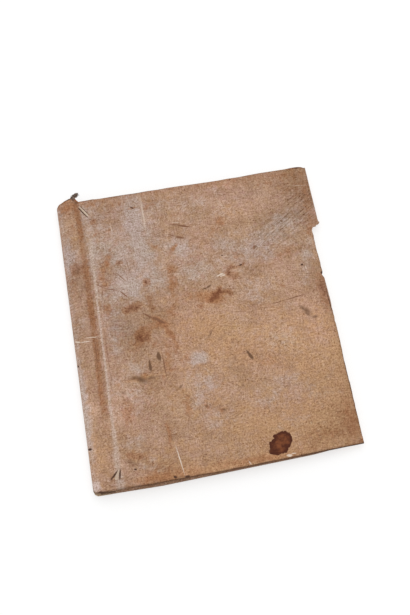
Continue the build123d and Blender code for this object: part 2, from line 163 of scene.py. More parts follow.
def graded(start: float, end: float, step: float, dense: Bends = (), fine: float = 0.5,
           samples: int = 4000) -> Array:
    """Grid lines that lie closer together in some stretches.

    Args:
        start: first line.
        end: last line.
        step: usual spacing.
        dense: stretches (from, to) with the finer spacing.
        fine: that finer spacing.
        samples: number of places at which the spacing is worked out.

    Returns:
        The lines: equal steps of the running sum of 1 / spacing.
    """
    places = np.linspace(start, end, samples)
    spacing = np.full(places.shape, step)
    for low, high in dense:
        inside = soft_step(places, low - step, low) * (1 - soft_step(places, high, high + step))
        spacing = np.minimum(spacing, step - (step - fine) * inside)
    count = np.concatenate([[0], np.cumsum(np.diff(places) * 2 / (spacing[1:] + spacing[:-1]))])
    return np.interp(np.linspace(0, count[-1], int(round(count[-1])) + 1), count, places)


def grid_quads(rows: int, columns: int) -> Array:
    """Quads of a grid of vertices numbered row by row, anticlockwise over columns then rows."""
    index = np.arange(rows * columns).reshape(rows, columns)
    corners = (index[:-1, :-1], index[:-1, 1:], index[1:, 1:], index[1:, :-1])
    return np.stack(corners, -1).reshape(-1, 4)


def unit(vectors: Array) -> Array:
    """Vectors along the last axis, each divided by its length."""
    return vectors / np.maximum(np.linalg.norm(vectors, axis=-1, keepdims=True), 1e-9)


# ---- places and meshes ----
@dataclass(frozen=True)
class BookPlace:
    """Turns millimetres on the book into metres in the row frame."""

    zero: Array  # row-frame place of x = y = z = 0, in metres

    @classmethod
    def from_solids(cls, spine_inset: float = 0.35) -> "BookPlace":
        """Reads the book's zero from the boxes of the spine and the back cover.

        Args:
            spine_inset: back edge of the book to the outer face of the spine's skin.

        Returns:
            The place.
        """
        spine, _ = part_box("spine_cover")
        cover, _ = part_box("back_cover")
        return cls(np.array([spine.x - spine_inset / METRE, cover.y, cover.z]))

    def metres(self, points: Array) -> Array:
        """Row-frame places of an (n, 3) array of book places."""
        return np.asarray(points, float) / METRE + self.zero

    def point(self, x: float, y: float, z: float) -> Vector:
        """Row-frame place of one book place."""
        return Vector(self.metres(np.array([x, y, z])))


@dataclass
class MeshDraft:
    """A mesh in the making."""

    points: Array  # vertices in book millimetres, (n, 3)
    quads: Array  # vertex numbers, (m, 4)
    # faces with other numbers of corners, after the quads
    caps: list[list[int]] = field(default_factory=list)
    # flat map in millimetres, for each vertex (n, 2) or quad corner (m, 4, 2)
    flat: Array | None = None
    slots: Array | None = None  # material number of each quad
    values: dict[str, Array] = field(default_factory=dict)  # named values of the vertices

    @classmethod
    def joined(cls, drafts: list["MeshDraft"]) -> "MeshDraft":
        """One draft of several that have the same named values, and a flat map or none.

        Args:
            drafts: the drafts.

        Returns:
            One draft.
        """
        starts = np.cumsum([0] + [len(draft.points) for draft in drafts])
        caps = [[corner + start for corner in cap]
                for draft, start in zip(drafts, starts) for cap in draft.caps]
        names = drafts[0].values
        flat = None if drafts[0].flat is None else np.concatenate([d.flat for d in drafts])
        return cls(
            np.concatenate([draft.points for draft in drafts]),
            np.concatenate([draft.quads + start for draft, start in zip(drafts, starts)]),
            caps, flat, None,
            {name: np.concatenate([draft.values[name] for draft in drafts]) for name in names},
        )

    def finish(self, name: str, place: BookPlace,
               finishes: list[bpy.types.Material]) -> bpy.types.Object:
        """Makes the object.

        Args:
            name: its name.
            place: where the book lies.
            finishes: materials, in the order of the draft's slot numbers.

        Returns:
            The object, at the origin, with smooth faces.
        """
        mesh = bpy.data.meshes.new(name)
        mesh.from_pydata(place.metres(self.points).tolist(), [], self.quads.tolist() + self.caps)
        for finish in finishes:
            mesh.materials.append(finish)
        slots = np.zeros(len(mesh.polygons), np.int32)
        if self.slots is not None:
            slots[: len(self.quads)] = self.slots
        mesh.polygons.foreach_set("material_index", slots)
        for label, value in self.values.items():
            layer = mesh.attributes.new(label, "FLOAT", "POINT")
            layer.data.foreach_set("value", np.asarray(value, np.float32).ravel())
        if self.flat is not None:
            self.add_flat_map(mesh)
        mesh.polygons.foreach_set("use_smooth", np.ones(len(mesh.polygons), bool))
        mesh.update()
        piece = bpy.data.objects.new(name, mesh)
        bpy.context.scene.collection.objects.link(piece)
        return piece

    def add_flat_map(self, mesh: bpy.types.Mesh) -> None:
        """Writes the flat map, given for vertices or for the quads' corners, to the mesh.

        Args:
            mesh: the mesh.
        """
        flat = self.flat
        if flat.ndim == 2:
            corners = np.zeros(len(mesh.loops), np.int32)
            mesh.loops.foreach_get("vertex_index", corners)
            flat = flat[corners]
        layer = mesh.uv_layers.new(name=FLAT_NAME)
        layer.uv.foreach_set("vector", (flat / FLAT_SPAN).astype(np.float32).ravel())


@dataclass
class Sweep:
    """A closed bar: an oval ring carried along a path."""

    path: Array  # middle of the ring, (n, 3)
    side: Array  # unit vectors across the bar; `side` x `up` points along the path
    up: Array  # unit vectors over it
    wide: Array  # half widths, (n,)
    high: Array  # half heights, (n,)
    sides: int = 12  # corners of the ring

    @classmethod
    def fibre(cls, path: Array, radius: Array, beside: Place = (0.31, -0.22, 0.93),
              sides: int = 6) -> "Sweep":
        """A round bar whose ring stands square to its path.

        Args:
            path: middle of the ring, (n, 3).
            radius: its radius, (n,).
            beside: a direction in which the path never runs.
            sides: corners of the ring.

        Returns:
            The bar.
        """
        along = unit(np.gradient(path, axis=0))
        side = unit(np.cross(np.array(beside), along))
        return cls(path, side, np.cross(along, side), radius, radius, sides)

    def draft(self) -> MeshDraft:
        """The bar: path + wide cos(a) side + high sin(a) up, with a cap at each end.

        Returns:
            Its draft; the flat map holds the way round and the way along, in millimetres,
            and the value `tip` the share of the way.
        """
        turn = np.arange(self.sides) * 2 * np.pi / self.sides
        over = (self.wide[:, None] * np.cos(turn))[..., None] * self.side[:, None]
        over = over + (self.high[:, None] * np.sin(turn))[..., None] * self.up[:, None]
        points = self.path[:, None] + over
        count = len(self.path)
        index = np.arange(count * self.sides).reshape(count, self.sides)
        after = np.roll(index, -1, axis=1)
        quads = np.stack((index[:-1], after[:-1], after[1:], index[1:]), -1).reshape(-1, 4)
        caps = [index[0, ::-1].tolist(), index[-1].tolist()]
        steps = np.linalg.norm(np.diff(self.path, axis=0), axis=1)
        way = np.broadcast_to(np.concatenate([[0], np.cumsum(steps)])[:, None], index.shape)
        round_way = np.broadcast_to(np.abs(turn - np.pi) * self.wide.mean(), index.shape)
        flat = np.stack([round_way, way], -1).reshape(-1, 2)
        tip = (way / way.max()).ravel()
        return MeshDraft(points.reshape(-1, 3), quads, caps, flat, None, {"tip": tip})


# ---- node graphs ----
@dataclass(frozen=True)
class Cloud:
    """Soft noise in a material."""

    period: float  # about one wave of it, in millimetres
    reach: float = 1.0  # distance between its lowest and highest value, where it lies round 0
    detail: float = 3.0
    rough: float = 0.55  # strength of each layer beside the one before


class Graph:
    """Builds one material's nodes with short calls."""

    def __init__(self, name: str) -> None:
        """Starts a material called `name` with one Principled shader.

        Args:
            name: name of the material.
        """
        self.material = bpy.data.materials.new(name)
        self.material.use_nodes = True
        self.tree = self.material.node_tree
        self.shader = self.tree.nodes["Principled BSDF"]

    def node(self, kind: str, sockets: dict[int | str, object] | None = None,
             **settings: object) -> bpy.types.Node:
        """Adds a shader node.

        Args:
            kind: its type, without the usual prefix.
            sockets: what goes into its inputs, by number or name.
            settings: its properties.

        Returns:
            The node.
        """
        made = self.tree.nodes.new("ShaderNode" + kind)
        for key, value in settings.items():
            setattr(made, key, value)
        for key, value in (sockets or {}).items():
            self.put(made.inputs[key], value)
        return made

    def put(self, socket: Socket, value: object) -> None:
        """Links an output to a socket, or sets the socket's own number or colour.

        Args:
            socket: the input.
            value: an output, a number, a vector or a colour.
        """
        if isinstance(value, Socket):
            self.tree.links.new(value, socket)
        elif socket.type == "RGBA":
            socket.default_value = (*value, 1)
        else:
            socket.default_value = value

    def math(self, operation: str, *values: object) -> Socket:
        """Output of one Math node."""
        return self.node("Math", dict(enumerate(values)), operation=operation).outputs[0]

    def add(self, first: object, *others: object) -> Socket:
        """Sum of two or more numbers."""
        for other in others:
            first = self.math("ADD", first, other)
        return first

    def times(self, first: object, second: object) -> Socket:
        """Product of two numbers."""
        return self.math("MULTIPLY", first, second)

    def line(self, value: object, slope: float, rise: object) -> Socket:
        """A value times a slope, plus a rise."""
        return self.math("MULTIPLY_ADD", value, slope, rise)

    def around(self, value: Socket, reach: float) -> Socket:
        """A value from 0 to 1, turned into one from -reach / 2 to reach / 2."""
        return self.line(value, reach, -reach / 2)

    def vector(self, operation: str, *values: object) -> Socket:
        """Vector output of one Vector Math node."""
        made = self.node("VectorMath", dict(enumerate(values)), operation=operation)
        return made.outputs["Vector"]

    def scaled(self, vector: Socket, scale: object) -> Socket:
        """A vector or colour times a number."""
        made = self.node("VectorMath", {0: vector, "Scale": scale}, operation="SCALE")
        return made.outputs["Vector"]

    def tinted(self, colour: Socket, amount: Socket, tint: Colour) -> Socket:
        """A colour times 1 + amount x tint."""
        return self.vector("MULTIPLY", colour,
                           self.vector("MULTIPLY_ADD", amount, tint, (1, 1, 1)))

    def ease(self, value: object, low: float, high: float, to_low: float = 0.0,
             to_high: float = 1.0) -> Socket:
        """Smooth step of a value between two limits, mapped to two others."""
        sockets = {"Value": value, "From Min": low, "From Max": high, "To Min": to_low,
                   "To Max": to_high}
        return self.node("MapRange", sockets, interpolation_type="SMOOTHSTEP").outputs["Result"]

    def mapped(self, vector: Socket, kind: str, **settings: Place) -> Socket:
        """A vector moved, turned and scaled by a Mapping node of the given kind."""
        made = self.node("Mapping", {"Vector": vector, **settings}, vector_type=kind)
        return made.outputs["Vector"]

    def turned(self, vector: Socket, degrees: float, stretch: float) -> Socket:
        """A flat map for streaks that lean by some degrees, stretched along themselves."""
        return self.mapped(vector, "TEXTURE", Rotation=(0, 0, math.radians(degrees)),
                           Scale=(stretch, 1, 1))

    def noise(self, vector: Socket, cloud: Cloud, output: str = "Fac") -> Socket:
        """A cloud's noise, about 0 to 1."""
        sockets = {"Vector": vector, "Scale": 1 / cloud.period, "Detail": cloud.detail,
                   "Roughness": cloud.rough}
        return self.node("TexNoise", sockets).outputs[output]

    def cloud(self, vector: Socket, cloud: Cloud) -> Socket:
        """A cloud's noise round 0, as far as the cloud reaches."""
        return self.around(self.noise(vector, cloud), cloud.reach)

    def shaken(self, vector: Socket, period: float, reach: float) -> Socket:
        """A vector moved about by noise, by up to half of `reach` along each axis.

        Args:
            vector: the vector.
            period: about one wave of the noise.
            reach: twice the furthest move.

        Returns:
            The moved vector.
        """
        wander = self.noise(vector, Cloud(period, detail=2), "Color")
        wander = self.vector("MULTIPLY_ADD", wander, (reach, reach, 0),
                             (-reach / 2, -reach / 2, 0))
        return self.vector("ADD", vector, wander)

    def cells(self, vector: Socket, gap: float, feature: str = "F1") -> Socket:
        """Distance to the middle, or to the edge, of cells about `gap` millimetres wide."""
        made = self.node("TexVoronoi", {"Vector": vector, "Scale": 1 / gap}, feature=feature)
        return made.outputs["Distance"]

    def mix(self, share: object, first: object, second: object) -> Socket:
        """Mixes two colours."""
        return self.node("Mix", {0: share, 6: first, 7: second}, data_type="RGBA").outputs[2]

    def mix_numbers(self, share: object, first: object, second: object) -> Socket:
        """Mixes two numbers."""
        return self.node("Mix", {0: share, 2: first, 3: second}, data_type="FLOAT").outputs[0]

    def attribute(self, name: str) -> Socket:
        """A value that the mesh carries on its vertices."""
        return self.node("Attribute", attribute_name=name).outputs["Fac"]

    def flat_map(self) -> Socket:
        """Place on the flat skin, in millimetres."""
        return self.scaled(self.node("UVMap", uv_map=FLAT_NAME).outputs["UV"], FLAT_SPAN)

    def object_map(self) -> Socket:
        """Place on the rigid piece, in millimetres."""
        return self.scaled(self.node("TexCoord").outputs["Object"], METRE)

    def bump(self, height: Socket, distance: float, strength: float) -> None:
        """Adds a relief, `distance` millimetres for each unit of height, to the normal."""
        made = self.node("Bump", {"Strength": strength, "Distance": distance / METRE,
                                  "Height": height})
        self.put(self.shader.inputs["Normal"], made.outputs["Normal"])

    def done(self, colour: object, roughness: object, specular: float) -> bpy.types.Material:
        """Joins colour, roughness and shine to the shader and returns the material.

        Args:
            colour: base colour.
            roughness: its roughness.
            specular: strength of its reflection.

        Returns:
            The material.
        """
        for name, value in (("Base Color", colour), ("Roughness", roughness),
                            ("Specular IOR Level", specular)):
            self.put(self.shader.inputs[name], value)
        return self.material


@dataclass(frozen=True)
class Veil:
    """A tint that covers a colour as some value rises."""

    tint: Colour
    low: float  # value at which it begins
    high: float  # value at which it covers most; below `low`, it covers what falls
    most: float = 1.0  # the largest share that it covers

    def over(self, graph: Graph, colour: object, value: Socket,
             within: Socket | None = None) -> Socket:
        """Lays the tint over a colour.

        Args:
            graph: the material's graph.
            colour: what it covers.
            value: the value that brings it.
            within: share to which the tint is held back.

        Returns:
            The colour.
        """
        share = graph.ease(value, self.low, self.high, 0, self.most)
        if within is not None:
            share = graph.times(share, within)
        return graph.mix(share, colour, self.tint)


# ---- wear ----
class Wear(Enum):
    """Kinds of wear that the outer skin carries as vertex values; SHADE also carries painted shade
    along the edges.
    """

    RUBBED = "rubbed"
    WARM = "warm"
    BLOTCH = "blotch"
    STAIN = "stain"
    GRAIN = "grain"
    PALE = "pale"
    # darker or lighter tone; along the edges it also carries painted shade
    SHADE = "shade"
    OCHRE = "ochre"


class Ink(Enum):
    """What a mark shows: a dark line, a faint one, olive soil, or the pale core of the skin. Some
    dark lines are painted shade in slits, in a hole and along edges.
    """

    DARK = "dark"
    FAINT = "faint"
    SOIL = "soil"
    PALE = "pale"


@dataclass(frozen=True)
class Patch:
    """A soft oval patch of wear."""

    x: float  # middle, in book millimetres
    y: float
    across: float  # half width at which it is down to a third of its strength
    along: float
    strength: float = 1.0  # value in the middle
    turn: float = 0.0  # degrees by which its length leans to the left

    def value(self, x: Array, y: Array) -> Array:
        """The strength times e to minus the squared oval distance.

        Args:
            x: places across the flat skin.
            y: places along it.

        Returns:
            The value at each place.
        """
        turn = math.radians(self.turn)
        over, up = x - self.x, y - self.y
        side = over * math.cos(turn) + up * math.sin(turn)
        way = up * math.cos(turn) - over * math.sin(turn)
        return self.strength * np.exp(-((side / self.across) ** 2) - (way / self.along) ** 2)


@dataclass(frozen=True)
class Mark:
    """A fine straight mark that tapers to both ends."""

    x0: float  # start, in book millimetres
    y0: float
    x1: float
    y1: float
    width: float
    ink: Ink = Ink.DARK
    strength: float = 1.0
    tips: ClassVar[float] = 1.15  # half length of the oval round the mark, for each of its own
    flanks: ClassVar[float] = 0.75  # half width of that oval, for each width

    def mask(self, graph: Graph, place: Socket) -> Socket:
        """1 on the mark's middle, down to 0 on the oval round its tips and flanks.

        Args:
            graph: the material's graph.
            place: place on the flat skin.

        Returns:
            The value.
        """
        reach = (math.hypot(self.x1 - self.x0, self.y1 - self.y0) + self.width) / 2
        turn = math.atan2(self.y1 - self.y0, self.x1 - self.x0)
        middle = ((self.x0 + self.x1) / 2, (self.y0 + self.y1) / 2, 0)
        inside = graph.mapped(place, "TEXTURE", Location=middle, Rotation=(0, 0, turn),
                              Scale=(reach * self.tips, self.width * self.flanks, 1))
        oval = graph.node("TexGradient", {"Vector": inside}, gradient_type="SPHERICAL")
        return oval.outputs["Fac"]


@dataclass(frozen=True)
class WearMap:
    """Where a panel of the wrapper is rubbed, dirty, stained and scratched."""

    patches: dict[Wear, tuple[Patch, ...]]  # patches of each kind of wear
    marks: tuple[Mark, ...] = ()
    groove: Bends = ()  # line (y, x) of the groove beside the spine
    groove_half: float = 2.6  # half width of the dirt in it
    # how dirty it is, by y
    groove_dirt: Bends = ((0, 0.1), (36, 0.15), (56, 0.7), (80, 0.85), (120, 0.95), (150, 1.05),
                          (214, 1.2), (224, 0.5))
    groove_shade: float = 0.10  # how much that dirt darkens it
    ridge: Bends = ()  # line (y, x) of the fold at the front joint
    ridge_half: Bends = ()  # its half width, by y
    ridge_pale: Bends = ()  # how pale it is worn, by y
    drift: float = 1.1  # how far the outlines of the patches wander, in millimetres

    def wander(self, x: Array, y: Array, seed: int) -> Array:
        """Drift of the outlines in one direction: a broad wave and a finer one."""
        broad = lattice_noise(x, y, 4.5, seed)
        return self.drift * (broad + 0.7 * lattice_noise(x, y, 1.8, seed + 1))

    def values(self, x: Array, y: Array) -> dict[str, Array]:
        """Vertex values of every kind of wear.

        Args:
            x: places on the flat skin.
            y: places along it.

        Returns:
            One array for each kind: the sum of its patches, but the strongest patch for the
            stain.  The groove adds a band e^-(d/half)^4 of old dirt, and the fold at the
            joint a narrow band e^-(d/half)^2 that is worn pale.
        """
        made = {}
        over, up = x + self.wander(x, y, 71), y + self.wander(x, y, 83)
        for kind in Wear:
            layers = [patch.value(over, up) for patch in self.patches.get(kind, ())]
            layers.append(np.zeros(x.shape))
            made[kind.value] = np.max(layers, 0) if kind is Wear.STAIN else np.sum(layers, 0)
        if self.groove:
            away = np.abs(x - bend_line(y, self.groove)) / self.groove_half
            dirt = np.exp(-(away ** 4)) * (1 + 0.4 * lattice_noise(x, y, 17, 5))
            dirt = dirt * bend_line(y, self.groove_dirt)
            made[Wear.WARM.value] += dirt
            made[Wear.SHADE.value] -= dirt * self.groove_shade
            away = (x - bend_line(y, self.ridge)) / bend_line(y, self.ridge_half)
            made[Wear.PALE.value] += np.exp(-(away ** 2)) * bend_line(y, self.ridge_pale)
        return made


def patches(*rows: tuple[float, ...]) -> tuple[Patch, ...]:
    """Patches from rows (x, y, across, along, strength, turn)."""
    return tuple(Patch(*row) for row in rows)


def marks(ink: Ink, *rows: tuple[float, ...]) -> tuple[Mark, ...]:
    """Marks of one ink from rows (x0, y0, x1, y1, width, strength)."""
    return tuple(Mark(*row[:5], ink, *row[5:]) for row in rows)


FRONT_PATCHES = {
    Wear.RUBBED: patches(
        (46, 186, 22, 40, 0.42), (58, 203, 7, 24, 0.75), (50, 150, 9, 12, 0.55),
        (64, 160, 8, 14, 0.4), (50, 146, 3, 4, 0.6), (88, 177, 11, 8, 0.6, -20),
        (90.5, 87, 6.5, 4.6, 1.1), (168, 178, 12, 34, 0.42, -60), (140, 168, 12, 22, 0.4, -60),
        (185, 158, 6, 14, 0.35, -20), (36, 32, 8, 5, 0.5), (45, 86, 7, 6, 0.5),
        (23, 178, 4, 26, 0.5), (6, 188, 6, 14, 0.5), (4, 60, 4, 34, 0.35), (95, 155, 20, 13, 0.4),
        (72, 193, 9, 14, 0.3), (100, 212, 26, 9, 0.35), (34, 120, 8, 30, 0.3),
        (92, 40, 9, 12, 0.25), (135, 47, 14, 6, 0.4), (40, 64, 12, 16, 0.35),
        (150, 60, 14, 8, 0.3), (30, 205, 5, 9, 0.35), (8, 128, 6, 10, 0.3), (21, 5, 6, 4, 0.5),
        (1.5, 56, 3.4, 50, 0.55), (1.5, 152, 3.4, 12, 0.75), (1.5, 112, 3, 30, 0.25),
        (2, 210, 3, 16, 0.35), (20, 222, 14, 4, 0.3), (98, 68, 8, 6, 0.4), (30, 112, 4, 16, 0.35),
        (21, 214, 7, 10, 0.4), (3, 176, 4, 16, 0.45), (42, 175, 7, 10, 0.3),
        (62, 176, 8, 10, 0.35), (122, 176, 10, 9, 0.5), (42, 155, 8, 8, 0.4),
        (102, 156, 11, 9, 0.2), (142, 136, 15, 11, 0.42), (150, 30, 16, 10, 0.25),
        (170, 50, 12, 14, 0.2), (24, 134, 6, 12, 0.2), (24, 77, 5, 12, 0.3), (22, 50, 6, 16, 0.25),
        (84, 56, 8, 10, 0.35), (102, 35, 10, 11, 0.18), (43, 13, 9, 7, 0.35),
        (152, 93, 20, 10, 0.35), (84, 73, 6, 9, 0.25), (102, 195, 10, 8, 0.25),
        (184, 156, 8, 8, 0.2), (92, 177, 9, 9, 0.25), (9, 176, 6, 9, 0.35), (32, 183, 7, 9, 0.4),
        (71, 150, 7, 9, 0.35), (72, 214, 8, 5, 0.35), (92, 66, 9, 15, 0.28), (32, 146, 7, 6, 0.3),
        (131, 205, 9, 8, 0.2), (4, 222, 4, 5, 0.9), (4, 5, 4, 5, 0.9), (180, 138, 5, 9, 0.4),
        (169, 190, 9, 5, 0.4), (156, 158, 5, 5, 0.35), (140, 126, 5, 5, 0.35),
        (124, 198, 5, 5, 0.3), (36, 134, 4, 4, 0.3), (164, 118, 6, 5, 0.3), (124, 222, 5, 4, 0.25),
    ),
    Wear.WARM: patches(
        (33.5, 174, 3.6, 12, 1.0, -27), (30, 157, 4, 9, 0.8, 25), (28, 205, 3, 10, 0.6),
        (72, 216, 9, 3.4, 0.75, 8), (30, 221, 9, 4, 0.5), (90, 204, 11, 3, 0.6, 6),
        (79.5, 150, 4.6, 12, 0.85), (82, 160, 4.4, 4, 0.7), (76, 126, 4.4, 6, 0.85),
        (50.8, 112, 5.0, 5.6, 1.35), (72.0, 110, 2.8, 10, 0.6, 20), (60, 116.5, 6, 2.6, 0.7, -12),
        (76, 100, 3, 7, 0.3, 10), (44, 103, 5, 8, 0.5, 10), (112, 129, 8, 5, 0.5),
        (66, 86, 3.0, 5, 0.4, -14), (71, 82, 5, 2, 0.45), (80, 88, 5, 3, 0.6, 15),
        (66, 118, 7, 4, 0.8, -25), (56, 104, 16, 5, 0.5), (84, 176.5, 2.6, 6.5, 1.1, -45),
        (96, 166, 4, 6, 0.5), (118, 187, 10, 4, 0.6, 40), (124, 194, 4, 5, 0.6),
        (68, 90, 3, 13, 0.45), (60, 34, 1.8, 14, 0.95), (64, 60, 2.5, 16, 0.5),
        (76, 54, 3, 9, 0.9), (52, 70, 5, 12, 0.4), (192, 124, 7, 22, 0.35), (192, 24, 5, 22, 0.4),
        (196, 22, 8, 20, 0.4), (184, 30, 12, 16, 0.4), (48, 3, 22, 3, 0.8), (122, 6, 20, 3, 0.55),
        (168, 16, 20, 8, 0.6), (184, 216, 16, 14, 0.6), (194, 196, 5, 20, 0.7),
        (170, 161, 10, 4, 0.7, 25), (108, 6, 60, 4, 0.5), (8, 222, 10, 8, 0.95),
        (60, 225, 60, 3, 0.45), (150, 226, 50, 4, 0.5), (134, 220, 4, 6, 0.3),
        (110, 133, 13, 6, 0.7), (95, 136, 14, 6, 0.6), (4, 158, 6, 14, 0.7), (3, 128, 3, 10, 0.4),
        (190, 176, 3, 7, 0.7), (141, 78, 7, 4, 0.55), (113, 88, 3, 6, 0.6), (50, 9, 18, 7, 0.55),
        (45, 78.5, 10, 3, 0.75, 8), (16, 22, 3, 12, 0.2), (150, 118, 22, 4, 0.4),
        (103, 60, 10, 14, 0.3), (28, 133, 4, 5, 0.7), (152, 155, 10, 6, 0.35),
        (132, 165, 9, 6, 0.3), (31, 114, 7, 7, 0.45), (72, 96, 7, 7, 0.5), (132, 75, 8, 6, 0.25),
        (100, 70, 5, 5, 0.55), (84, 86, 4, 4, 0.45), (132, 166, 5, 5, 0.35), (76, 46, 4, 5, 0.4),
        (60, 102, 4, 4, 0.3),
    ),
    Wear.OCHRE: patches(
        (150, 20, 60, 24, 0.9), (90, 4.5, 40, 3.4, 1.1), (130, 7, 26, 3.4, 0.8),
        (194, 72, 5, 26, 0.9), (186, 40, 18, 40, 0.7), (98, 112, 26, 28, 0.75),
        (56.6, 114, 2.6, 5, 1.0, -12), (47, 78, 10, 2.6, 1.2), (70.6, 111, 2.2, 6, 1.0, 20),
        (110, 70, 30, 24, 0.35), (150, 98, 36, 18, 0.6), (170, 70, 26, 30, 0.5),
        (60, 18, 30, 14, 0.5), (150, 140, 24, 10, 0.35), (75, 60, 22, 26, 0.3),
        (12, 208, 7, 22, 0.5), (8, 24, 10, 20, 0.6), (132, 202, 12, 8, 0.35),
        (68, 136, 12, 12, 0.3), (120, 40, 24, 16, 0.3),
    ),
    Wear.BLOTCH: patches(
        (43.5, 132.3, 4.4, 2.8, 1.15), (50.2, 133.6, 4.6, 3.8, 0.95), (61.4, 152, 2.8, 3.0, 1.3),
        (107.0, 131.2, 2.6, 2.2, 1.35), (110.8, 134, 3.8, 2.2, 1.1, -35),
        (114.2, 137.6, 2.8, 2.9, 1.3), (112, 132.8, 6, 3.2, 0.55),
        (118.4, 135.8, 3.6, 1.6, 1.0, -15), (121.6, 133.8, 2.0, 1.5, 1.1),
        (121.8, 150.6, 2.4, 1.6, 0.85), (124.6, 153, 3.4, 1.4, 0.75, 30),
        (129, 154.0, 3.2, 1.2, 0.7), (132.6, 154.8, 1.5, 1.0, 1.3), (135.6, 155.6, 1.0, 0.9, 1.3),
        (127.4, 147.6, 2.4, 2.1, 0.95), (124, 149, 4, 4, 0.35), (48.6, 109.6, 2.8, 3.2, 1.0),
        (52, 107.8, 4.2, 1.7, 0.9, 14), (56.0, 111.4, 1.5, 4.6, 0.7, -14), (51.5, 113, 4, 5, 0.8),
        (67.4, 119.0, 3.0, 3.0, 1.2), (63.3, 121.9, 3.2, 1.7, 1.25, -35),
        (42.8, 170.8, 2.1, 2.1, 1.4), (71.0, 111, 1.8, 5, 0.4, 22), (74.5, 104, 1.6, 4, 0.2, 12),
        (61, 139, 2.6, 4.5, 0.7), (62, 131, 2.8, 3, 0.8), (29, 137, 3, 3, 0.75),
        (10, 171, 5, 6, 0.75, 20), (28, 76.5, 3, 1.4, 0.5), (23.5, 72, 4, 1.3, 0.35),
        (38, 70, 1.6, 1.2, 0.5), (31, 84, 1.4, 1.0, 0.5), (43, 91.8, 1.2, 0.8, 0.8),
        (41, 93.6, 0.8, 0.8, 0.7), (146, 168.5, 1.4, 1.0, 0.4), (147, 176, 2.6, 2.6, 0.35),
        (98.5, 127.4, 2.2, 1.5, 0.6), (101, 46, 2.2, 1.6, 1.0), (90, 50, 2.0, 2.4, 0.9, 30),
        (80.5, 147.5, 3, 4, 0.75), (27, 208.5, 2.6, 1.8, 1.0, 30), (26.4, 197, 1.2, 1.2, 1.2),
        (39, 199, 2.4, 1.6, 0.7), (73, 106, 2.0, 6, 0.5, 20), (58.5, 214.5, 2.6, 1.3, 1.1),
        (44, 219.5, 1.6, 1.6, 0.9), (49, 219, 1.6, 1.8, 0.9), (159.5, 220, 1.5, 1.5, 0.9),
        (165, 220, 1.3, 1.8, 0.8), (168, 219.5, 1.2, 1.6, 0.7), (191, 131, 3.8, 9, 0.75),
        (192, 118, 3.6, 14, 0.5), (34, 22, 9, 3, 0.7, -6), (33, 55, 5, 12, 0.5),
        (161, 133, 3, 1.2, 0.8, -30), (190, 231, 6, 1.6, 1.1), (196.4, 8.6, 2.4, 1.2, 0.9),
        (176, 16.5, 3.5, 2.0, 0.7), (53, 56, 1.3, 1.3, 0.7), (146, 168, 1.4, 1.1, 0.9),
        (9, 229.8, 6, 1.2, 1.3), (16.5, 164, 3, 10, 0.5), (97, 127, 2.5, 2, 0.6),
        (71, 181, 3, 1.6, 0.7), (63, 76, 2, 3, 0.5), (12, 207, 2, 6, 0.4),
    ),
    Wear.STAIN: patches(
        (140.2, 16.6, 7.4, 5.8, 1.0, 30), (135.2, 12.8, 6.7, 5.2, 1.0, 15),
        (138.8, 19.8, 5.4, 3.0, 0.9, 5), (139.0, 10.4, 4.4, 4.0, 1.0),
        (143.4, 16.0, 4.0, 4.6, 0.9),
    ),
    Wear.GRAIN: patches(
        (170, 183, 12, 36, 1.3, -58), (186, 205, 12, 20, 0.8), (40, 105, 12, 30, 0.3),
        (110, 160, 18, 30, 0.3, -50), (176, 35, 18, 20, 0.3, 30),
    ),
    Wear.SHADE: patches(
        (190, 210, 15, 26, -0.22), (191, 32, 6, 9, 0.08), (191, 129, 5, 9, -0.08),
        (58, 223.5, 8, 4, -0.08), (130, 223, 17, 4, 0.07), (86, 4, 34, 3.4, 0.08),
        (172, 225, 10, 5, -0.05), (92, 183, 9, 8, 0.07), (112, 195, 9, 6, -0.05),
        (31, 123, 7, 7, -0.1), (36, 110, 6, 5, 0.05), (64, 106, 5, 5, -0.06),
        (57, 124, 8, 5, -0.035), (172, 95, 11, 8, 0.08), (11, 135, 5, 26, -0.09),
        (132, 55, 9, 6, -0.06), (132, 90, 8, 9, -0.04), (52, 34, 8, 8, -0.06),
        (72, 34, 7, 7, -0.04), (172, 30, 10, 9, -0.035), (52, 216, 8, 5, -0.05),
        (32, 205, 8, 6, -0.05), (152, 145, 8, 5, -0.045), (172, 114, 9, 14, 0.04),
        (152, 125, 8, 5, 0.045), (152, 155, 8, 5, 0.045), (92, 145, 8, 6, 0.06),
        (131, 205, 9, 12, 0.04), (52, 85, 7, 5, 0.04), (132, 225, 8, 4, 0.06),
        (132, 183, 8, 8, -0.04), (9, 4, 8, 3, 0.06), (190, 24, 15, 22, -0.17),
        (193, 60, 6, 25, -0.04), (192, 125, 7, 20, -0.12), (196, 60, 3, 50, -0.06),
        (30, 60, 8, 10, 0.03), (168, 182, 12, 30, -0.14, -58), (5, 56, 6, 38, 0.18),
        (152, 214, 22, 10, -0.10), (42, 115, 10, 10, -0.07), (162, 114, 12, 10, 0.12),
        (186, 108, 8, 22, 0.13), (102, 137, 10, 7, 0.07), (62, 136, 8, 8, -0.06),
        (42, 155, 8, 8, 0.06), (142, 135, 10, 8, 0.05), (19, 50, 7, 20, 0.07),
        (3, 14, 4, 10, 0.09), (43, 36, 8, 12, -0.09), (63, 14, 8, 9, -0.11),
        (152, 56, 18, 10, -0.08), (166, 14, 12, 8, -0.07), (84, 55, 8, 9, 0.05),
        (104, 155, 10, 8, 0.05), (150, 95, 34, 22, 0.10), (130, 200, 22, 12, 0.08),
        (45, 178, 22, 38, -0.05), (30, 218, 20, 9, -0.06), (9, 165, 8, 12, -0.12),
        (46, 112, 16, 22, -0.12), (62, 136, 16, 12, -0.06), (100, 12, 70, 9, -0.05),
        (40, 60, 24, 24, 0.08), (7, 188, 6, 14, -0.06), (100, 95, 16, 34, 0.06),
        (140, 60, 26, 22, 0.05), (4, 5, 4, 5, 0.2), (44, 119, 5, 6, -0.08), (68, 7, 6, 4, 0.08),
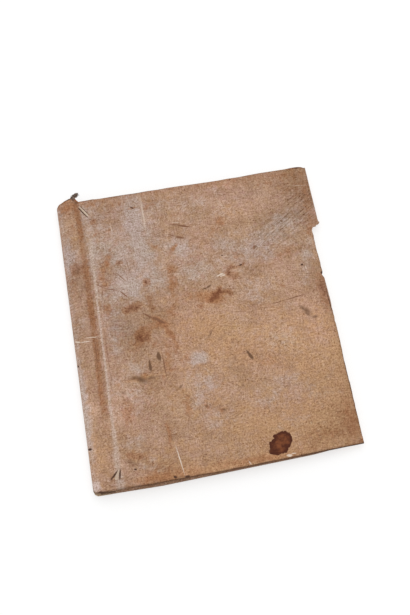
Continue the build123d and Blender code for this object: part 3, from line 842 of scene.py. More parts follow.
        (44, 6, 6, 4, 0.06), (131, 6, 5, 4, 0.16), (23, 6, 8, 4, -0.07), (76, 214, 5, 5, -0.08),
        (68, 174, 5, 5, -0.07), (44, 62, 5, 5, -0.07), (12, 126, 4, 5, -0.06),
        (12, 158, 4, 5, -0.07), (106, 134, 5, 4, 0.06), (100, 70, 5, 5, -0.03),
    ),
}
FRONT_MARKS = marks(
    Ink.DARK,
    (179.4, 149.0, 180.2, 149.0, 1.6), (0.6, 96.7, 1.8, 96.7, 1.0), (0.8, 33.8, 3.4, 32.8, 1.5),
    (193.4, 140.8, 195.2, 140.5, 2.2), (59.2, 2.8, 60.6, 2.4, 1.5), (66.6, 1.8, 70.0, 1.7, 1.2),
    # painted shade: the lines from (96.0, 1.7) and (140.0, 3.6) are painted shadow under the front
    # cover's tail edge, and the marks from (3.6, 1.2) and (5.2, 0.9) are painted shade in the
    # opening at the spine's tail end
    (32.2, 12.7, 33.2, 12.3, 1.3, 0.9), (96.0, 1.7, 150.0, 4.1, 0.5, 0.5),
    (140.0, 3.6, 197.6, 6.2, 0.5, 0.7), (3.6, 1.2, 10.0, 0.3, 0.9), (5.2, 0.9, 7.0, 0.6, 1.3),
    # painted shade in the slits beside the laced slips, at the tail and at the head
    (14.0, 8.0, 20.6, 14.3, 1.25), (22.0, 14.8, 20.6, 6.6, 1.2, 0.8),
    (18.5, 223.2, 24.9, 213.8, 0.75, 0.8), (16.9, 222.2, 23.9, 211.8, 1.0),
    (1.0, 229.0, 18.0, 231.2, 0.9, 0.5), (34.0, 226.2, 88.0, 227.2, 0.5, 0.35),
    (188.6, 230.6, 193.6, 230.6, 1.6, 0.5), (120.0, 165.3, 121.4, 165.2, 1.0, 0.7),
    # the lines from (193.9, 133.0), (195.4, 103.0) and (196.6, 231.0) are painted shadow along the
    # fore edge
    (132.4, 155.2, 134.2, 155.5, 1.4, 0.8), (193.9, 133.0, 195.4, 101.0, 0.7, 0.6),
    (195.4, 103.0, 197.6, 9.0, 0.6, 0.5), (196.6, 231.0, 197.6, 184.0, 0.5, 0.45),
    (57.0, 216.0, 60.0, 213.8, 0.9, 0.7),
) + marks(
    Ink.FAINT,
    (84.0, 196.8, 93.0, 195.0, 0.9, 0.6), (90.0, 195.4, 100.5, 192.2, 1.5, 0.85),
    (95.0, 194.0, 98.4, 192.8, 1.3), (111.0, 192.6, 122.0, 191.2, 0.8, 0.4),
    (82.0, 188.6, 89.0, 185.9, 0.9, 0.55), (87.6, 185.9, 94.4, 183.6, 1.7, 0.8),
    (146.0, 120.0, 166.0, 123.0, 0.6, 0.6), (160.0, 122.0, 179.0, 125.4, 0.8, 0.7),
    (168.0, 131.0, 174.0, 127.6, 1.2, 0.4), (116.0, 119.6, 134.0, 117.4, 0.6, 0.4),
    (15.4, 84.0, 16.6, 121.0, 0.8, 0.5), (37.0, 166.0, 47.5, 153.0, 0.8, 0.5),
    (21.0, 157.6, 29.0, 152.6, 0.9, 0.5), (28.0, 152.5, 40.0, 148.6, 0.9, 0.6),
    (39.0, 149.4, 46.5, 141.0, 0.9, 0.65), (54.0, 128.6, 62.0, 122.6, 1.3, 0.8),
    (61.0, 124.0, 70.0, 117.6, 1.6, 0.9), (20.6, 226.3, 27.0, 226.6, 1.0, 0.9),
    (47.0, 178.0, 50.0, 160.0, 0.6, 0.4), (64.0, 98.0, 64.8, 72.0, 0.9, 0.6),
    (24.0, 141.0, 24.6, 60.0, 0.9, 0.35), (104.0, 108.0, 101.0, 102.0, 0.7, 0.5),
) + marks(
    Ink.SOIL,
    (101.4, 140.2, 105.4, 140.8, 0.9, 0.8), (104.0, 140.4, 108.8, 142.8, 1.6, 0.6),
    (53.9, 91.6, 54.0, 86.4, 1.1), (53.9, 89.0, 54.0, 83.2, 2.0), (61.2, 95.8, 61.0, 90.6, 2.2),
    (62.0, 95.2, 61.9, 89.6, 1.5), (126.2, 87.4, 128.6, 82.6, 1.6, 0.9),
    (127.4, 84.4, 129.6, 80.8, 2.2, 0.9), (171.6, 116.8, 176.0, 111.0, 3.4, 0.42),
    (173.6, 114.4, 178.6, 109.4, 5.0, 0.42), (174.0, 111.6, 178.2, 107.6, 3.4, 0.4),
    (178.6, 106.0, 184.6, 106.2, 2.4, 0.4), (38.0, 79.6, 45.0, 79.2, 3.6, 0.42),
    (42.0, 79.4, 50.0, 75.6, 4.8, 0.5), (48.0, 77.4, 58.4, 77.8, 3.2, 0.38),
    (101.0, 46.4, 103.4, 45.6, 1.6, 0.45), (89.0, 49.0, 91.0, 51.6, 1.8, 0.36),
    (16.0, 228.2, 16.6, 225.4, 3.6, 0.4), (6.6, 230.0, 12.6, 231.0, 1.6),
    (13.0, 176.0, 8.6, 164.0, 5.0, 0.25), (29.4, 71.4, 34.0, 68.0, 2.6, 0.3),
    (36.4, 15.6, 25.0, 20.0, 3.4, 0.25), (98.0, 100.0, 104.6, 108.0, 1.6, 0.3),
    (72.6, 66.4, 75.0, 69.0, 2.0, 0.4), (146.0, 167.4, 148.2, 169.6, 1.8, 0.4),
) + marks(
    Ink.PALE,
    (86.0, 198.4, 94.0, 196.6, 0.6, 0.4), (194.6, 137.6, 196.6, 137.8, 1.2),
    (63.1, 27.5, 66.9, 1.6, 0.62, 0.8), (1.0, 116.2, 5.8, 113.4, 0.8, 0.85),
    (5.2, 113.6, 13.0, 112.8, 0.7, 0.8), (8.6, 116.0, 20.4, 115.6, 0.6, 0.6),
    (114.0, 149.0, 116.4, 149.6, 1.0, 0.7), (116.0, 149.6, 118.8, 150.4, 1.2),
    (118.2, 148.9, 120.2, 149.2, 1.0, 0.9), (116.4, 148.4, 118.0, 148.5, 0.7, 0.8),
    (141.4, 5.5, 144.4, 5.2, 1.7, 0.9), (144.6, 6.4, 148.0, 6.2, 0.8, 0.7),
    (113.2, 6.2, 114.8, 2.8, 1.0, 0.5), (65.6, 230.0, 66.4, 188.0, 1.7, 0.33),
    (40.0, 204.0, 40.4, 196.0, 0.6, 0.5), (182.0, 148.0, 182.6, 145.0, 0.7, 0.5),
    (181.0, 216.0, 199.0, 214.6, 0.6, 0.28),
)
FRONT_WEAR = WearMap(
    FRONT_PATCHES,
    FRONT_MARKS,
    groove=((0, 17.5), (30, 16.5), (60, 15.9), (80, 15.9), (100, 16.6), (140, 16.7),
            (170, 16.8), (200, 16.6), (215, 16.3), (232, 15.5)),
    ridge=((0, 20.4), (20, 20.6), (36, 21.0), (44, 21.1), (60, 20.9), (80, 21.3), (100, 21.6),
           (140, 22.0), (171, 22.8), (200, 23.0), (214, 21.6), (232, 20.4)),
    ridge_half=((0, 4.0), (10, 3.4), (24, 3.4), (38, 2.4), (44, 1.5), (80, 1.3), (95, 1.05),
                (150, 1.05), (168, 1.8), (205, 2.0), (222, 1.0)),
    ridge_pale=((0, 0.7), (36, 0.75), (50, 0.9), (150, 1.0), (172, 0.7), (190, 0.5), (232, 0.3)),
)
BACK_WEAR = WearMap(
    patches={
        Wear.RUBBED: patches((60, 160, 40, 35, 0.5), (120, 60, 45, 30, 0.45),
                             (8, 110, 6, 90, 0.6), (150, 190, 25, 18, 0.45),
                             (176, 100, 6, 60, 0.5), (90, 112, 26, 60, 0.25)),
        Wear.WARM: patches((100, 120, 30, 22, 0.4), (40, 40, 25, 18, 0.45),
                           (170, 30, 14, 20, 0.6), (20, 200, 14, 18, 0.45),
                           (84, 196, 5, 14, 0.7, -30), (132, 96, 4, 18, 0.6, 20)),
        Wear.OCHRE: patches((90, 110, 60, 70, 0.4), (150, 60, 24, 40, 0.4)),
        Wear.BLOTCH: patches((70, 90, 6, 4, 0.8, 30), (130, 140, 4, 3, 0.8),
                             (112, 176, 3, 2, 0.9), (34, 148, 2.4, 3.4, 0.8),
                             (152, 44, 7, 3, 0.7, -20), (96, 30, 2, 2, 0.9)),
        Wear.GRAIN: patches((90, 110, 90, 80, 0.3)),
        Wear.SHADE: patches((90, 4, 90, 7, -0.1), (90, 226, 90, 7, -0.1),
                            (178, 110, 7, 90, -0.1), (60, 150, 50, 50, 0.05)),
    },
)


# ---- finishes ----
class Finish:
    """What all finishes share."""

    # depth of the relief in millimetres, and its strength
    relief: ClassVar[tuple[float, float]] = (0.12, 0.8)
    roughness: ClassVar[float] = 0.9
    shine: ClassVar[float] = 0.2  # strength of its reflection


@dataclass(frozen=True)
class OuterSkin(Finish):
    """Grain side of the wrapper: mottled tan, rubbed, with pores, dirt, a stain and marks.

    A `gap` is the width of a pattern in millimetres, a `stretch` its length for each width, a
    `lean` its turn in degrees, and a `shake` the period and reach of its disorder.
    """

    marks: tuple[Mark, ...]
    # broad tones, and the clouds that bring them
    dark: Colour = display(166, 130, 103)
    light: Veil = Veil(display(186, 150, 126), 0.36, 0.64)
    tones: Cloud = Cloud(22, detail=4, rough=0.6)
    ochre: Veil = Veil(display(184, 142, 106), 0.0, 1.1, 0.95)
    rose: Veil = Veil(display(176, 135, 120), 0.05, -0.85, 0.75)
    hues: tuple[Cloud, ...] = (Cloud(7, 2.0, 4, 0.6), Cloud(40, 1.2, 2), Cloud(2.4, 1.3, 2, 0.5))
    # rubbed places and folds; the mottle breaks their edges
    mottle: Cloud = Cloud(5.5, detail=4, rough=0.65)
    bloom: Veil = Veil(display(187, 166, 155), 0.05, 0.95, 0.9)
    bloom_ragged: float = 1.5
    fold: Veil = Veil(display(200, 176, 160), 0.1, 0.95, 0.8)
    fold_ragged: float = 0.8
    # old dirt, and blotches with a halo
    warm: Veil = Veil(display(162, 113, 79), 0.15, 1.2, 0.95)
    ragged: Cloud = Cloud(3.2, 1.7, 3, 0.6)
    halo: Veil = Veil(display(162, 113, 79), 0.0, 0.5, 0.6)
    blotch: Veil = Veil(display(118, 70, 46), 0.45, 1.5, 0.9)
    specks: Cloud = Cloud(1.3, 1.2, 2)
    # the stain: its outline wanders, and its rim's colour spreads inwards in clots
    stain: Colour = display(130, 73, 40)
    stain_rim: Colour = display(76, 31, 10)
    stain_edge: Cloud = Cloud(1.9, 0.34, 4, 0.6)
    stain_clots: Cloud = Cloud(4.5, 1.6, 4, 0.65)
    stain_gloss: float = 0.22
  
    # colours of the marks; the dark one also paints shade in slits, in a hole and along edges
    inks: tuple[tuple[Ink, Colour], ...] = (
        (Ink.FAINT, display(134, 94, 70)),
        (Ink.SOIL, display(116, 85, 63)),
        (Ink.DARK, display(84, 58, 44)),
        (Ink.PALE, display(228, 208, 190)),
    )
    mark_shake: tuple[float, float] = (1.2, 0.9)
    # grain
    speckle: Cloud = Cloud(1.35, 2.0, 3, 0.8)
    fuzz: Cloud = Cloud(0.8, 1.35, 2, 0.8)
    nap: Cloud = Cloud(0.95, 1.7, 3, 0.7)
    nap_stretch: float = 2.4
    nap_leans: tuple[float, float] = (38.0, -52.0)
    nap_shake: tuple[float, float] = (30, 16)
    nap_change: Cloud = Cloud(24, detail=2)
    hair: Cloud = Cloud(1.3, 1.9, 3, 0.6)
    hair_stretch: float = 9.0
    hair_lean: float = 36.0
    scratch: Cloud = Cloud(0.95, 0.75, 2, 0.6)
    scratch_stretch: float = 7.0
    scratch_shake: tuple[float, float] = (18, 5)
    pore_gap: float = 1.5
    pore_shake: tuple[float, float] = (2.4, 1.6)
    pore_fields: Cloud = Cloud(9)
    crack_gap: float = 3.4
    crack_stretch: float = 1.9
    crack_lean: float = 14.3239
    crack_shake: tuple[float, float] = (2.0, 2.2)
    crack_fields: Cloud = Cloud(13)
    # how the grain's shade and a slow drift act on red, green and blue
    shade_tint: Colour = (0.8, 1.0, 1.2)
    hue_drift: Colour = (-0.03, 0.07, -0.05)
    hue_clouds: tuple[Cloud, ...] = (Cloud(3.5, detail=2), Cloud(33, detail=2))
    relief = (0.16, 0.8)
    roughness = 0.86

    def worn(self, graph: Graph, place: Socket, mottle: Socket) -> Socket:
        """Colour of the skin with its bloom, dirt, blotches and worn fold.

        Args:
            graph: the material's graph.
            place: place on the flat skin.
            mottle: noise that breaks the edges of the worn places.

        Returns:
            The colour.
        """
        colour = self.light.over(graph, self.dark, graph.noise(place, self.tones))
        tint = graph.add(*(graph.cloud(place, hue) for hue in self.hues),
                         graph.attribute(Wear.OCHRE.value))
        for veil in (self.ochre, self.rose):
            colour = veil.over(graph, colour, tint)
        rubbed = graph.add(graph.attribute(Wear.RUBBED.value),
                           graph.around(mottle, self.bloom_ragged))
        colour = self.bloom.over(graph, colour, rubbed)
        ragged = graph.cloud(place, self.ragged)
        warm = graph.add(graph.attribute(Wear.WARM.value), ragged)
        colour = self.warm.over(graph, colour, warm)
        dirt = graph.attribute(Wear.BLOTCH.value)
        spot = graph.add(dirt, graph.add(ragged, graph.cloud(place, self.specks)))
        near = graph.ease(dirt, 0.08, 0.4)
        for veil in (self.halo, self.blotch):
            colour = veil.over(graph, colour, spot, near)
        fold = graph.add(graph.attribute(Wear.PALE.value), graph.around(mottle, self.fold_ragged))
        return self.fold.over(graph, colour, fold)

    def grain(self, graph: Graph, place: Socket, mottle: Socket) -> tuple[Socket, Socket]:
        """Fine grain of the skin: nap, hair traces, scratches, pores and cracks.

        Args:
            graph: the material's graph.
            place: place on the flat skin.
            mottle: slow noise for the relief.

        Returns:
            Shade of the grain round 0, and its relief.
        """
        speckle, fuzz = graph.noise(place, self.speckle), graph.noise(place, self.fuzz)
        swirl = graph.shaken(place, *self.nap_shake)
        layings = [graph.noise(graph.turned(swirl, lean, self.nap_stretch), self.nap)
                   for lean in self.nap_leans]
        change = graph.ease(graph.noise(place, self.nap_change), 0.42, 0.58)
        nap = graph.mix_numbers(change, *layings)
        slant = graph.turned(place, self.hair_lean, self.hair_stretch)
        hair = graph.times(graph.cloud(slant, self.hair), graph.attribute(Wear.GRAIN.value))
        wavy, long = graph.shaken(place, *self.scratch_shake), self.scratch_stretch
        scratches = [graph.noise(graph.mapped(wavy, "TEXTURE", Scale=size), self.scratch)
                     for size in ((long, 1, 1), (1, long, 1))]
        scratch = graph.around(graph.add(*scratches), self.scratch.reach)
        holes = graph.cells(graph.shaken(place, *self.pore_shake), self.pore_gap)
        pore = graph.times(graph.ease(holes, 0.08, 0.36, 1, 0),
                           graph.ease(graph.noise(place, self.pore_fields), 0.40, 0.60, 0.15, 1))
        laid = graph.turned(place, self.crack_lean, self.crack_stretch)
        rims = graph.cells(graph.shaken(laid, *self.crack_shake), self.crack_gap,
                           "DISTANCE_TO_EDGE")
        crack = graph.times(graph.ease(rims, 0.0, 0.14, 1, 0),
                            graph.ease(graph.noise(place, self.crack_fields), 0.42, 0.62))
        shade = graph.add(
            graph.around(speckle, self.speckle.reach), graph.around(fuzz, self.fuzz.reach),
            graph.line(crack, -0.15, 0.02), graph.line(pore, -0.34, 0.045),
            graph.around(nap, self.nap.reach), hair, graph.add(scratch, -self.scratch.reach / 2),
        )
        relief = graph.add(
            graph.line(fuzz, 0.5, speckle), graph.line(hair, 1.2, nap),
            graph.line(pore, -0.8, mottle), graph.times(crack, -0.5),
        )
        return shade, relief

    def make(self) -> bpy.types.Material:
        """The material, from the broad tones to the finest marks.

        Returns:
            The material.
        """
        graph = Graph("skin_outer")
        place = graph.flat_map()
        mottle = graph.noise(place, self.mottle)
        colour = self.worn(graph, place, mottle)
        shade, relief = self.grain(graph, place, mottle)
        colour = graph.tinted(colour, shade, self.shade_tint)
        drift = graph.add(*(graph.cloud(place, cloud) for cloud in self.hue_clouds))
        colour = graph.tinted(colour, drift, self.hue_drift)
        colour = graph.scaled(colour, graph.add(graph.attribute(Wear.SHADE.value), 1.0))
        drop = graph.add(graph.attribute(Wear.STAIN.value), graph.cloud(place, self.stain_edge))
        clots = graph.add(graph.cloud(place, self.stain_clots), drop)
        deep = graph.mix(graph.ease(clots, 0.55, 1.25), self.stain_rim, self.stain)
        wet = graph.ease(drop, 0.36, 0.41)
        colour = graph.mix(wet, colour, deep)
        unsteady = graph.shaken(place, *self.mark_shake)
        for ink, tint in self.inks:
            total: object = 0.0
            for mark in (mark for mark in self.marks if mark.ink is ink):
                oval = graph.times(mark.mask(graph, unsteady), mark.strength)
                total = graph.math("MAXIMUM", oval, total)
            colour = graph.mix(graph.ease(total, 0.0, 0.5), colour, tint)
        graph.bump(relief, *self.relief)
        rough = graph.line(wet, -self.stain_gloss, self.roughness)
        return graph.done(colour, rough, self.shine)


@dataclass(frozen=True)
class Fibrous(Finish):
    """Soft fibrous matter without a grain: flesh side of skin, tawed strips, cores."""

    name: str
    light: Colour  # colour of its clean parts
    dark: Colour  # colour of its dirty parts
    stretch: float = 4.0  # how much longer than wide its fibres are
    period: float = 0.5  # width of a fibre, in millimetres
    moving: bool = False  # whether the piece bends, so that the fibres follow its flat map
    clouds: Cloud = Cloud(14, 2.2, 4, 0.6)  # clouds of dirt
    # value below which it is dirty, and value above which it is clean
    dirty: tuple[float, float] = (-0.8, 0.6)
    ragged: float = 1.4  # how much the fibres break the clouds' edges
    shade: float = 0.5  # how much they shade
    shine = 0.15

    def make(self) -> bpy.types.Material:
        """The material: fibres of stretched noise over clouds of dirt.

        Returns:
            The material.
        """
        graph = Graph(self.name)
        place = graph.flat_map() if self.moving else graph.object_map()
        long = graph.mapped(place, "POINT", Scale=(1.0, 1 / self.stretch, 1.0))
        fibres = graph.noise(graph.shaken(long, 3, 0.8), Cloud(self.period, rough=0.65))
        share = graph.add(graph.cloud(place, self.clouds), graph.around(fibres, self.ragged))
        colour = graph.mix(graph.ease(share, *self.dirty), self.dark, self.light)
        shade = graph.add(graph.around(fibres, self.shade), 1.0)
        graph.bump(fibres, *self.relief)
        return graph.done(graph.scaled(colour, shade), self.roughness, self.shine)


@dataclass(frozen=True)
class Paper(Finish):
    """Old rag paper: laid lines, foxing, and soiled edges with their layers of leaves."""

    clean: Colour = display(228, 213, 189)
    aged: Veil = Veil(display(212, 189, 157), 0.35, 0.68)
    tones: Cloud = Cloud(38, detail=5, rough=0.62)
    spot: Veil = Veil(display(172, 128, 84), 0.66, 0.74, 0.55)
    foxing: Cloud = Cloud(7, detail=5, rough=0.75)
    soiled: Veil = Veil(display(166, 133, 101), 0.05, 1.05, 0.9)
    soil: Cloud = Cloud(6, 0.8, 4)
    laid_gap: float = 1.1
    laid_shade: float = 0.012
    chain_gap: float = 26.0
    chain_shade: float = 0.03
    pulp: Cloud = Cloud(0.7, 0.12, 3, 0.7)
    layers: Cloud = Cloud(0.3, 1.3, 2, 0.7)
    layer_flatness: float = 0.03
    relief = (0.06, 0.6)
    roughness = 0.88

    def make(self) -> bpy.types.Material:
        """The material; the values `edge` and `leaf` soil the edges and set leaves apart.

        Returns:
            The material.
        """
        graph = Graph("paper")
        place = graph.object_map()
        edge, pulp = graph.attribute("edge"), graph.noise(place, self.pulp)
        colour = self.aged.over(graph, self.clean, graph.noise(place, self.tones))
        parts = graph.node("SeparateXYZ", {"Vector": place})
        laid = graph.math("SINE", graph.times(parts.outputs["X"], 2 * math.pi / self.laid_gap))
        chain = graph.math("PINGPONG", parts.outputs["Y"], self.chain_gap / 2)
        chain = graph.ease(chain, 0.0, 0.35, 1, 0)
        colour = self.spot.over(graph, colour, graph.noise(place, self.foxing))
        colour = self.soiled.over(graph, colour, graph.add(edge, graph.cloud(place, self.soil)))
        flat = graph.mapped(place, "POINT", Scale=(self.layer_flatness, self.layer_flatness, 1))
        shade = graph.add(
            graph.line(laid, self.laid_shade, graph.attribute("leaf")),
            graph.times(chain, -self.chain_shade), graph.around(pulp, self.pulp.reach),
            graph.times(graph.cloud(flat, self.layers), edge),
        )
        graph.bump(pulp, *self.relief)
        return graph.done(graph.scaled(colour, shade), self.roughness, self.shine)


@dataclass(frozen=True)
class Thread(Finish):
    """Twisted linen thread: plies `twist` millimetres apart, turned by `slant` radians."""

    name: str = "linen_thread"
    light: Colour = display(204, 178, 146)
    dark: Colour = display(132, 100, 76)
    twist: float = 0.55
    slant: Place = (0.6, 0.5, 0.7)
    dirt: Cloud = Cloud(5, 1.6)
    relief = (0.08, 0.7)
    roughness = 0.85

    def make(self) -> bpy.types.Material:
        """The material: slanting plies, darkened by handling.

        Returns:
            The material.
        """
        graph = Graph(self.name)
        place = graph.object_map()
        slanted = graph.mapped(place, "POINT", Rotation=self.slant)
        sockets = {"Vector": slanted, "Scale": 1 / self.twist, "Distortion": 1.0}
        plies = graph.node("TexWave", sockets, wave_type="BANDS").outputs["Fac"]
        share = graph.add(plies, graph.cloud(place, self.dirt))
        colour = graph.mix(graph.ease(share, -0.1, 1.3), self.dark, self.light)
        graph.bump(plies, *self.relief)
        return graph.done(colour, self.roughness, self.shine)


@dataclass(frozen=True)
class FrayedFibre(Finish):
    """Loose fibres, dark with dirt, paler and orange where they leave the skin."""

    dark: Colour = display(92, 78, 72)
    light: Veil = Veil(display(150, 128, 112), 0.35, 0.65)
    dirt: Cloud = Cloud(0.8, rough=0.6)
    root: Colour = display(182, 122, 84)
    shine = 0.1

    def make(self) -> bpy.types.Material:
        """The material: the value `tip` leads from the root's colour to the dirty ends.

        Returns:
            The material.
        """
        graph = Graph("frayed_fibre")
        colour = self.light.over(graph, self.dark, graph.noise(graph.object_map(), self.dirt))
        root = graph.ease(graph.attribute("tip"), 0.12, 0.42, 0.85, 0)
        return graph.done(graph.mix(root, colour, self.root), self.roughness, self.shine)


@dataclass(frozen=True)
class PaleFloor:
    """Pale table top of frosted glass, lit from below as well, so that shadows stay faint."""

    matt: float = 0.45
    glow: float = 0.62

    def make(self) -> bpy.types.Material:
        """The material: matt white with a plain glow.

        Returns:
            The material.
        """
        graph = Graph("pale_floor")
        graph.put(graph.shader.inputs["Emission Color"], (1, 1, 1))
        graph.put(graph.shader.inputs["Emission Strength"], self.glow)
        return graph.done((self.matt,) * 3, 1.0, 0.0)


# ---- wrapper ----
@dataclass
class SectionLine:
    """Smooth line of a skin's outer face in the X-Z section."""

    corners: Bends  # corners (x, z) of the line before it is smoothed
    soften: float  # half width of the smoothing window
    side: float = 1.0  # 1 if the outer face lies to the line's left, -1 if to its right
    step: float = 0.1  # spacing of the line's samples
    along: Array = field(init=False)  # way along the line at each sample
    x: Array = field(init=False)  # its place across the book
    z: Array = field(init=False)
    flat: Array = field(init=False)  # its place on the flat skin
    normal_x: Array = field(init=False)  # part along X of the outer face's normal
    normal_z: Array = field(init=False)  # part along Z of it

    def __post_init__(self) -> None:
        """Walks the corners in equal steps and averages the walk under a cosine window."""
        bends = np.array(self.corners, float)
        before = bends[0] - unit(bends[1] - bends[0]) * 2 * self.soften
        after = bends[-1] + unit(bends[-1] - bends[-2]) * 2 * self.soften
        bends = np.vstack([before, bends, after])
        runs = np.concatenate([[0], np.cumsum(np.linalg.norm(np.diff(bends, axis=0), axis=1))])
        walk = np.arange(0, runs[-1], self.step)
        half = int(self.soften / self.step)
        window = np.cos(np.linspace(-np.pi / 2, np.pi / 2, 2 * half + 1))
        inner = slice(2 * half, -2 * half)
        self.x, self.z = (
            np.convolve(np.interp(walk, runs, axis), window / window.sum(), "same")[inner]
            for axis in bends.T
        )
        steps = np.hypot(np.diff(self.x), np.diff(self.z))
        self.along = np.concatenate([[0], np.cumsum(steps)])
        slope = unit(np.stack([np.gradient(self.x), np.gradient(self.z)], -1))
        self.normal_x, self.normal_z = -slope[:, 1] * self.side, slope[:, 0] * self.side
        steep = np.where(np.abs(slope[:, 0]) < 0.5, 1.0, np.abs(slope[:, 0]))
        flat = np.concatenate([[0], np.cumsum(steps * steep[1:])])
        self.flat = flat + self.x[-1] - flat[-1]

    def read(self, values: Array, along: Array) -> Array:
        """One of the line's arrays at places along it."""
        return np.interp(along, self.along, values)

    def along_of(self, x: Array) -> Array:
        """Place along the line above or below x."""
        return np.interp(x, self.x, self.along)


@dataclass
class Panel:
    """A panel of the wrapper: skin with turned-in margins, as one closed shell."""

    place: BookPlace
    line: SectionLine  # section of the outer face
    wear: WearMap  # what the outer face has been through
    flat_offset: float = 0.0  # shift of this panel on the flat map
    # stretch of x in which head and tail edges are not turned in
    joint: tuple[float, float] = (12.0, 31.3)
    skin: float = 0.85
    folded: float = 1.8  # thickness of a turned-in margin
    turn_in: float = 14.0
    height: float = HEIGHT  # usual distance from tail to head
    step: float = 1.35
    cut_round: float = 0.2  # radius of an edge that is cut, not turned in
    # painted shade on the inner side of a cut tail edge, in the gap under the cover
    edge_painted_shade: float = 0.6  # how dark the inner side of a cut edge is
    dense_x: Bends = ()  # stretches (start, end) along the section with a finer grid
    dense_y: Bends = ()  # the same along Y
    # distances of the grid's outermost lines from an edge
    edge_lines: tuple[float, ...] = (0, 0.04, 0.15, 0.32, 0.6, 0.9, 1.4, 2.2)
    # lines on both sides of the step at a margin's end, from that end
    step_lines: tuple[float, float] = (-0.1, 0.06)
    fore_at: float = 180.8  # fore edge at half height
    # place across the book from which the grid stretches to the fore edge
    stretch_from: float = 34.0
    spine_round: float = 3.6  # radius of the worn tail corner at the spine
    spine_reach: float = 4.0  # place at which that corner begins
    waves: tuple[float, float] = (0.06, 31)  # height and period of the waves in the skin
    # reach and strength of the darkening at the tail, head and fore edges: dirt and painted shade
    edge_dirt_and_shade: Bends = ((1.3, 0.26), (1.2, 0.18), (0.9, 0.14))
    # painted shade and dirt on the outer side of a cut tail edge
    outer_dirt_and_shade: float = 0.42  # how much darker a cut edge is on the outer face
    outer_warm: float = 0.6  # how much browner it is there

    def head(self, x: Array) -> Array:
        """Head edge at x."""
        return self.height + np.maximum(x - FRONT_JOINT, 0) * HEAD_SLANT

    def tail(self, x: Array) -> Array:
        """Tail edge at x: worn round at the spine, square with it, then slanting."""
        radius = self.spine_round
        worn = radius - np.sqrt(radius ** 2 - np.clip(self.spine_reach - x, 0, radius) ** 2)
        return np.maximum(x - TAIL_SQUARE, 0) * TAIL_SLANT + worn

    def fore(self, y: Array) -> Array:
        """Fore edge at y."""
        return self.fore_at - (y - HALF_HEIGHT) * FORE_SLANT

    def fore_folded(self, y: Array) -> Array:
        """1 where the fore edge is turned in."""
        return np.ones(y.shape)

    def shift(self, x: Array, y: Array) -> Array:
        """How far places move along X."""
        return np.zeros(x.shape)

    def relief(self, x: Array, y: Array) -> Array:
        """How far the skin stands out from its section."""
        high, period = self.waves
        return high + high * lattice_noise(x, y, period, 12)

    def ends_folded(self, x: Array) -> Array:
        """1 where the head and tail edges are turned in, 0 beside the joint."""
        low, high = self.joint
        return 1 - soft_step(x, low, low + 0.6) * (1 - soft_step(x, high, high + 0.6))

    def lines(self, length: float, inner: bool, step: float, dense: Bends) -> Array:
        """Grid lines of one direction.

        Args:
            length: distance from the first line to the last.
            inner: whether the first line is a turned-in edge too.
            step: usual spacing.
            dense: stretches with a finer spacing.

        Returns:
            The lines; they lie close together at edges and on both sides of the step where a
            turned-in margin ends.
        """
        ends = np.array(self.edge_lines)
        margin = self.turn_in + np.array(self.step_lines)
        room = ends[-1] + step
        start = [0.0] if not inner else [*ends, *graded(room, margin[0] - step, step), *margin]
        stop = length - np.array([*ends, *graded(room, margin[0] - step, step), *margin])[::-1]
        middle = graded(start[-1] + step, stop[0] - step, step, dense)
        return np.concatenate([start, middle, stop])

    def places(self) -> tuple[Array, Array]:
        """Places of the grid: along the section, and along Y.

        Returns:
            Both arrays, (rows, columns).  The outermost lines keep their distance from the
            edges, and the lines between them stretch; as each edge depends on the other
            coordinate, the two are worked out in turn.
        """
        room = self.turn_in + 2
        length = self.line.along[-1]
        columns = self.lines(length, False, self.step, self.dense_x)[None]
        rows = self.lines(self.height, True, self.step, self.dense_y)[:, None]
        start = self.line.along_of(self.stretch_from)
        y = np.broadcast_to(rows, (rows.size, columns.size))
        for _ in range(4):
            end = self.line.along_of(self.fore(y))
            share = np.clip((columns - start) / (length - room - start), 0, 1)
            along = columns + (end - length) * share
            x = self.line.read(self.line.x, along)
            low, high = self.tail(x), self.head(x)
            share = np.clip((rows - room) / (self.height - 2 * room), 0, 1)
            y = rows + low + (high - low - self.height) * share
        return along, y

    def build(self) -> MeshDraft:
        """The panel's draft.

        Returns:
            Outer face, inner face and the walls between their borders.  Each edge is
            rounded: at a distance d from it both faces sink by r - sqrt(r^2 - (r - d)^2).
        """
        along, y = self.places()
        line = self.line
        x = line.read(line.x, along)
        low, high, end = y - self.tail(x), self.head(x) - y, self.fore(y) - x
        ends, fore = self.ends_folded(x), self.fore_folded(y)
        fold = (self.turn_in - 0.1, self.turn_in + 0.05)
        near = 1 - soft_step(np.minimum(low, high), *fold)
        side = 1 - soft_step(end, *fold)
        margin = np.maximum(near * ends, side * fore)
        thick = self.skin + (self.folded - self.skin) * margin

        def sunk(distance: Array, folded: Array) -> Array:
            """Depth of both faces beside one edge."""
            radius = self.cut_round + (self.folded / 2 - self.cut_round) * folded
            inside = np.clip(radius - distance, 0, radius)
            return radius - np.sqrt(radius ** 2 - inside ** 2)

        depth = np.maximum.reduce([sunk(low, ends), sunk(high, ends), sunk(end, fore)])
        depth = np.minimum(depth, thick / 2 - 0.02)
        out = self.relief(x, y)
        base_x = x + self.shift(x, y)
        base_z = line.read(line.z, along)
        normal_x, normal_z = line.read(line.normal_x, along), line.read(line.normal_z, along)

        def face(height: Array) -> Array:
            """Vertices at a height over the section line."""
            return np.stack([base_x + normal_x * height, y, base_z + normal_z * height],
                            -1).reshape(-1, 3)

        points = np.concatenate([face(out - depth), face(out - thick + depth)])
        flat_x = line.read(line.flat, along) + self.shift(x, y)
        draft = self.shell(points, flat_x, y, margin)
        # darker and browner near each edge: dirt and painted shade
        dirt = sum(np.exp(-(distance / reach) ** 2) * strength for distance, (reach, strength)
                   in zip((low, high, end), self.edge_dirt_and_shade)).ravel()
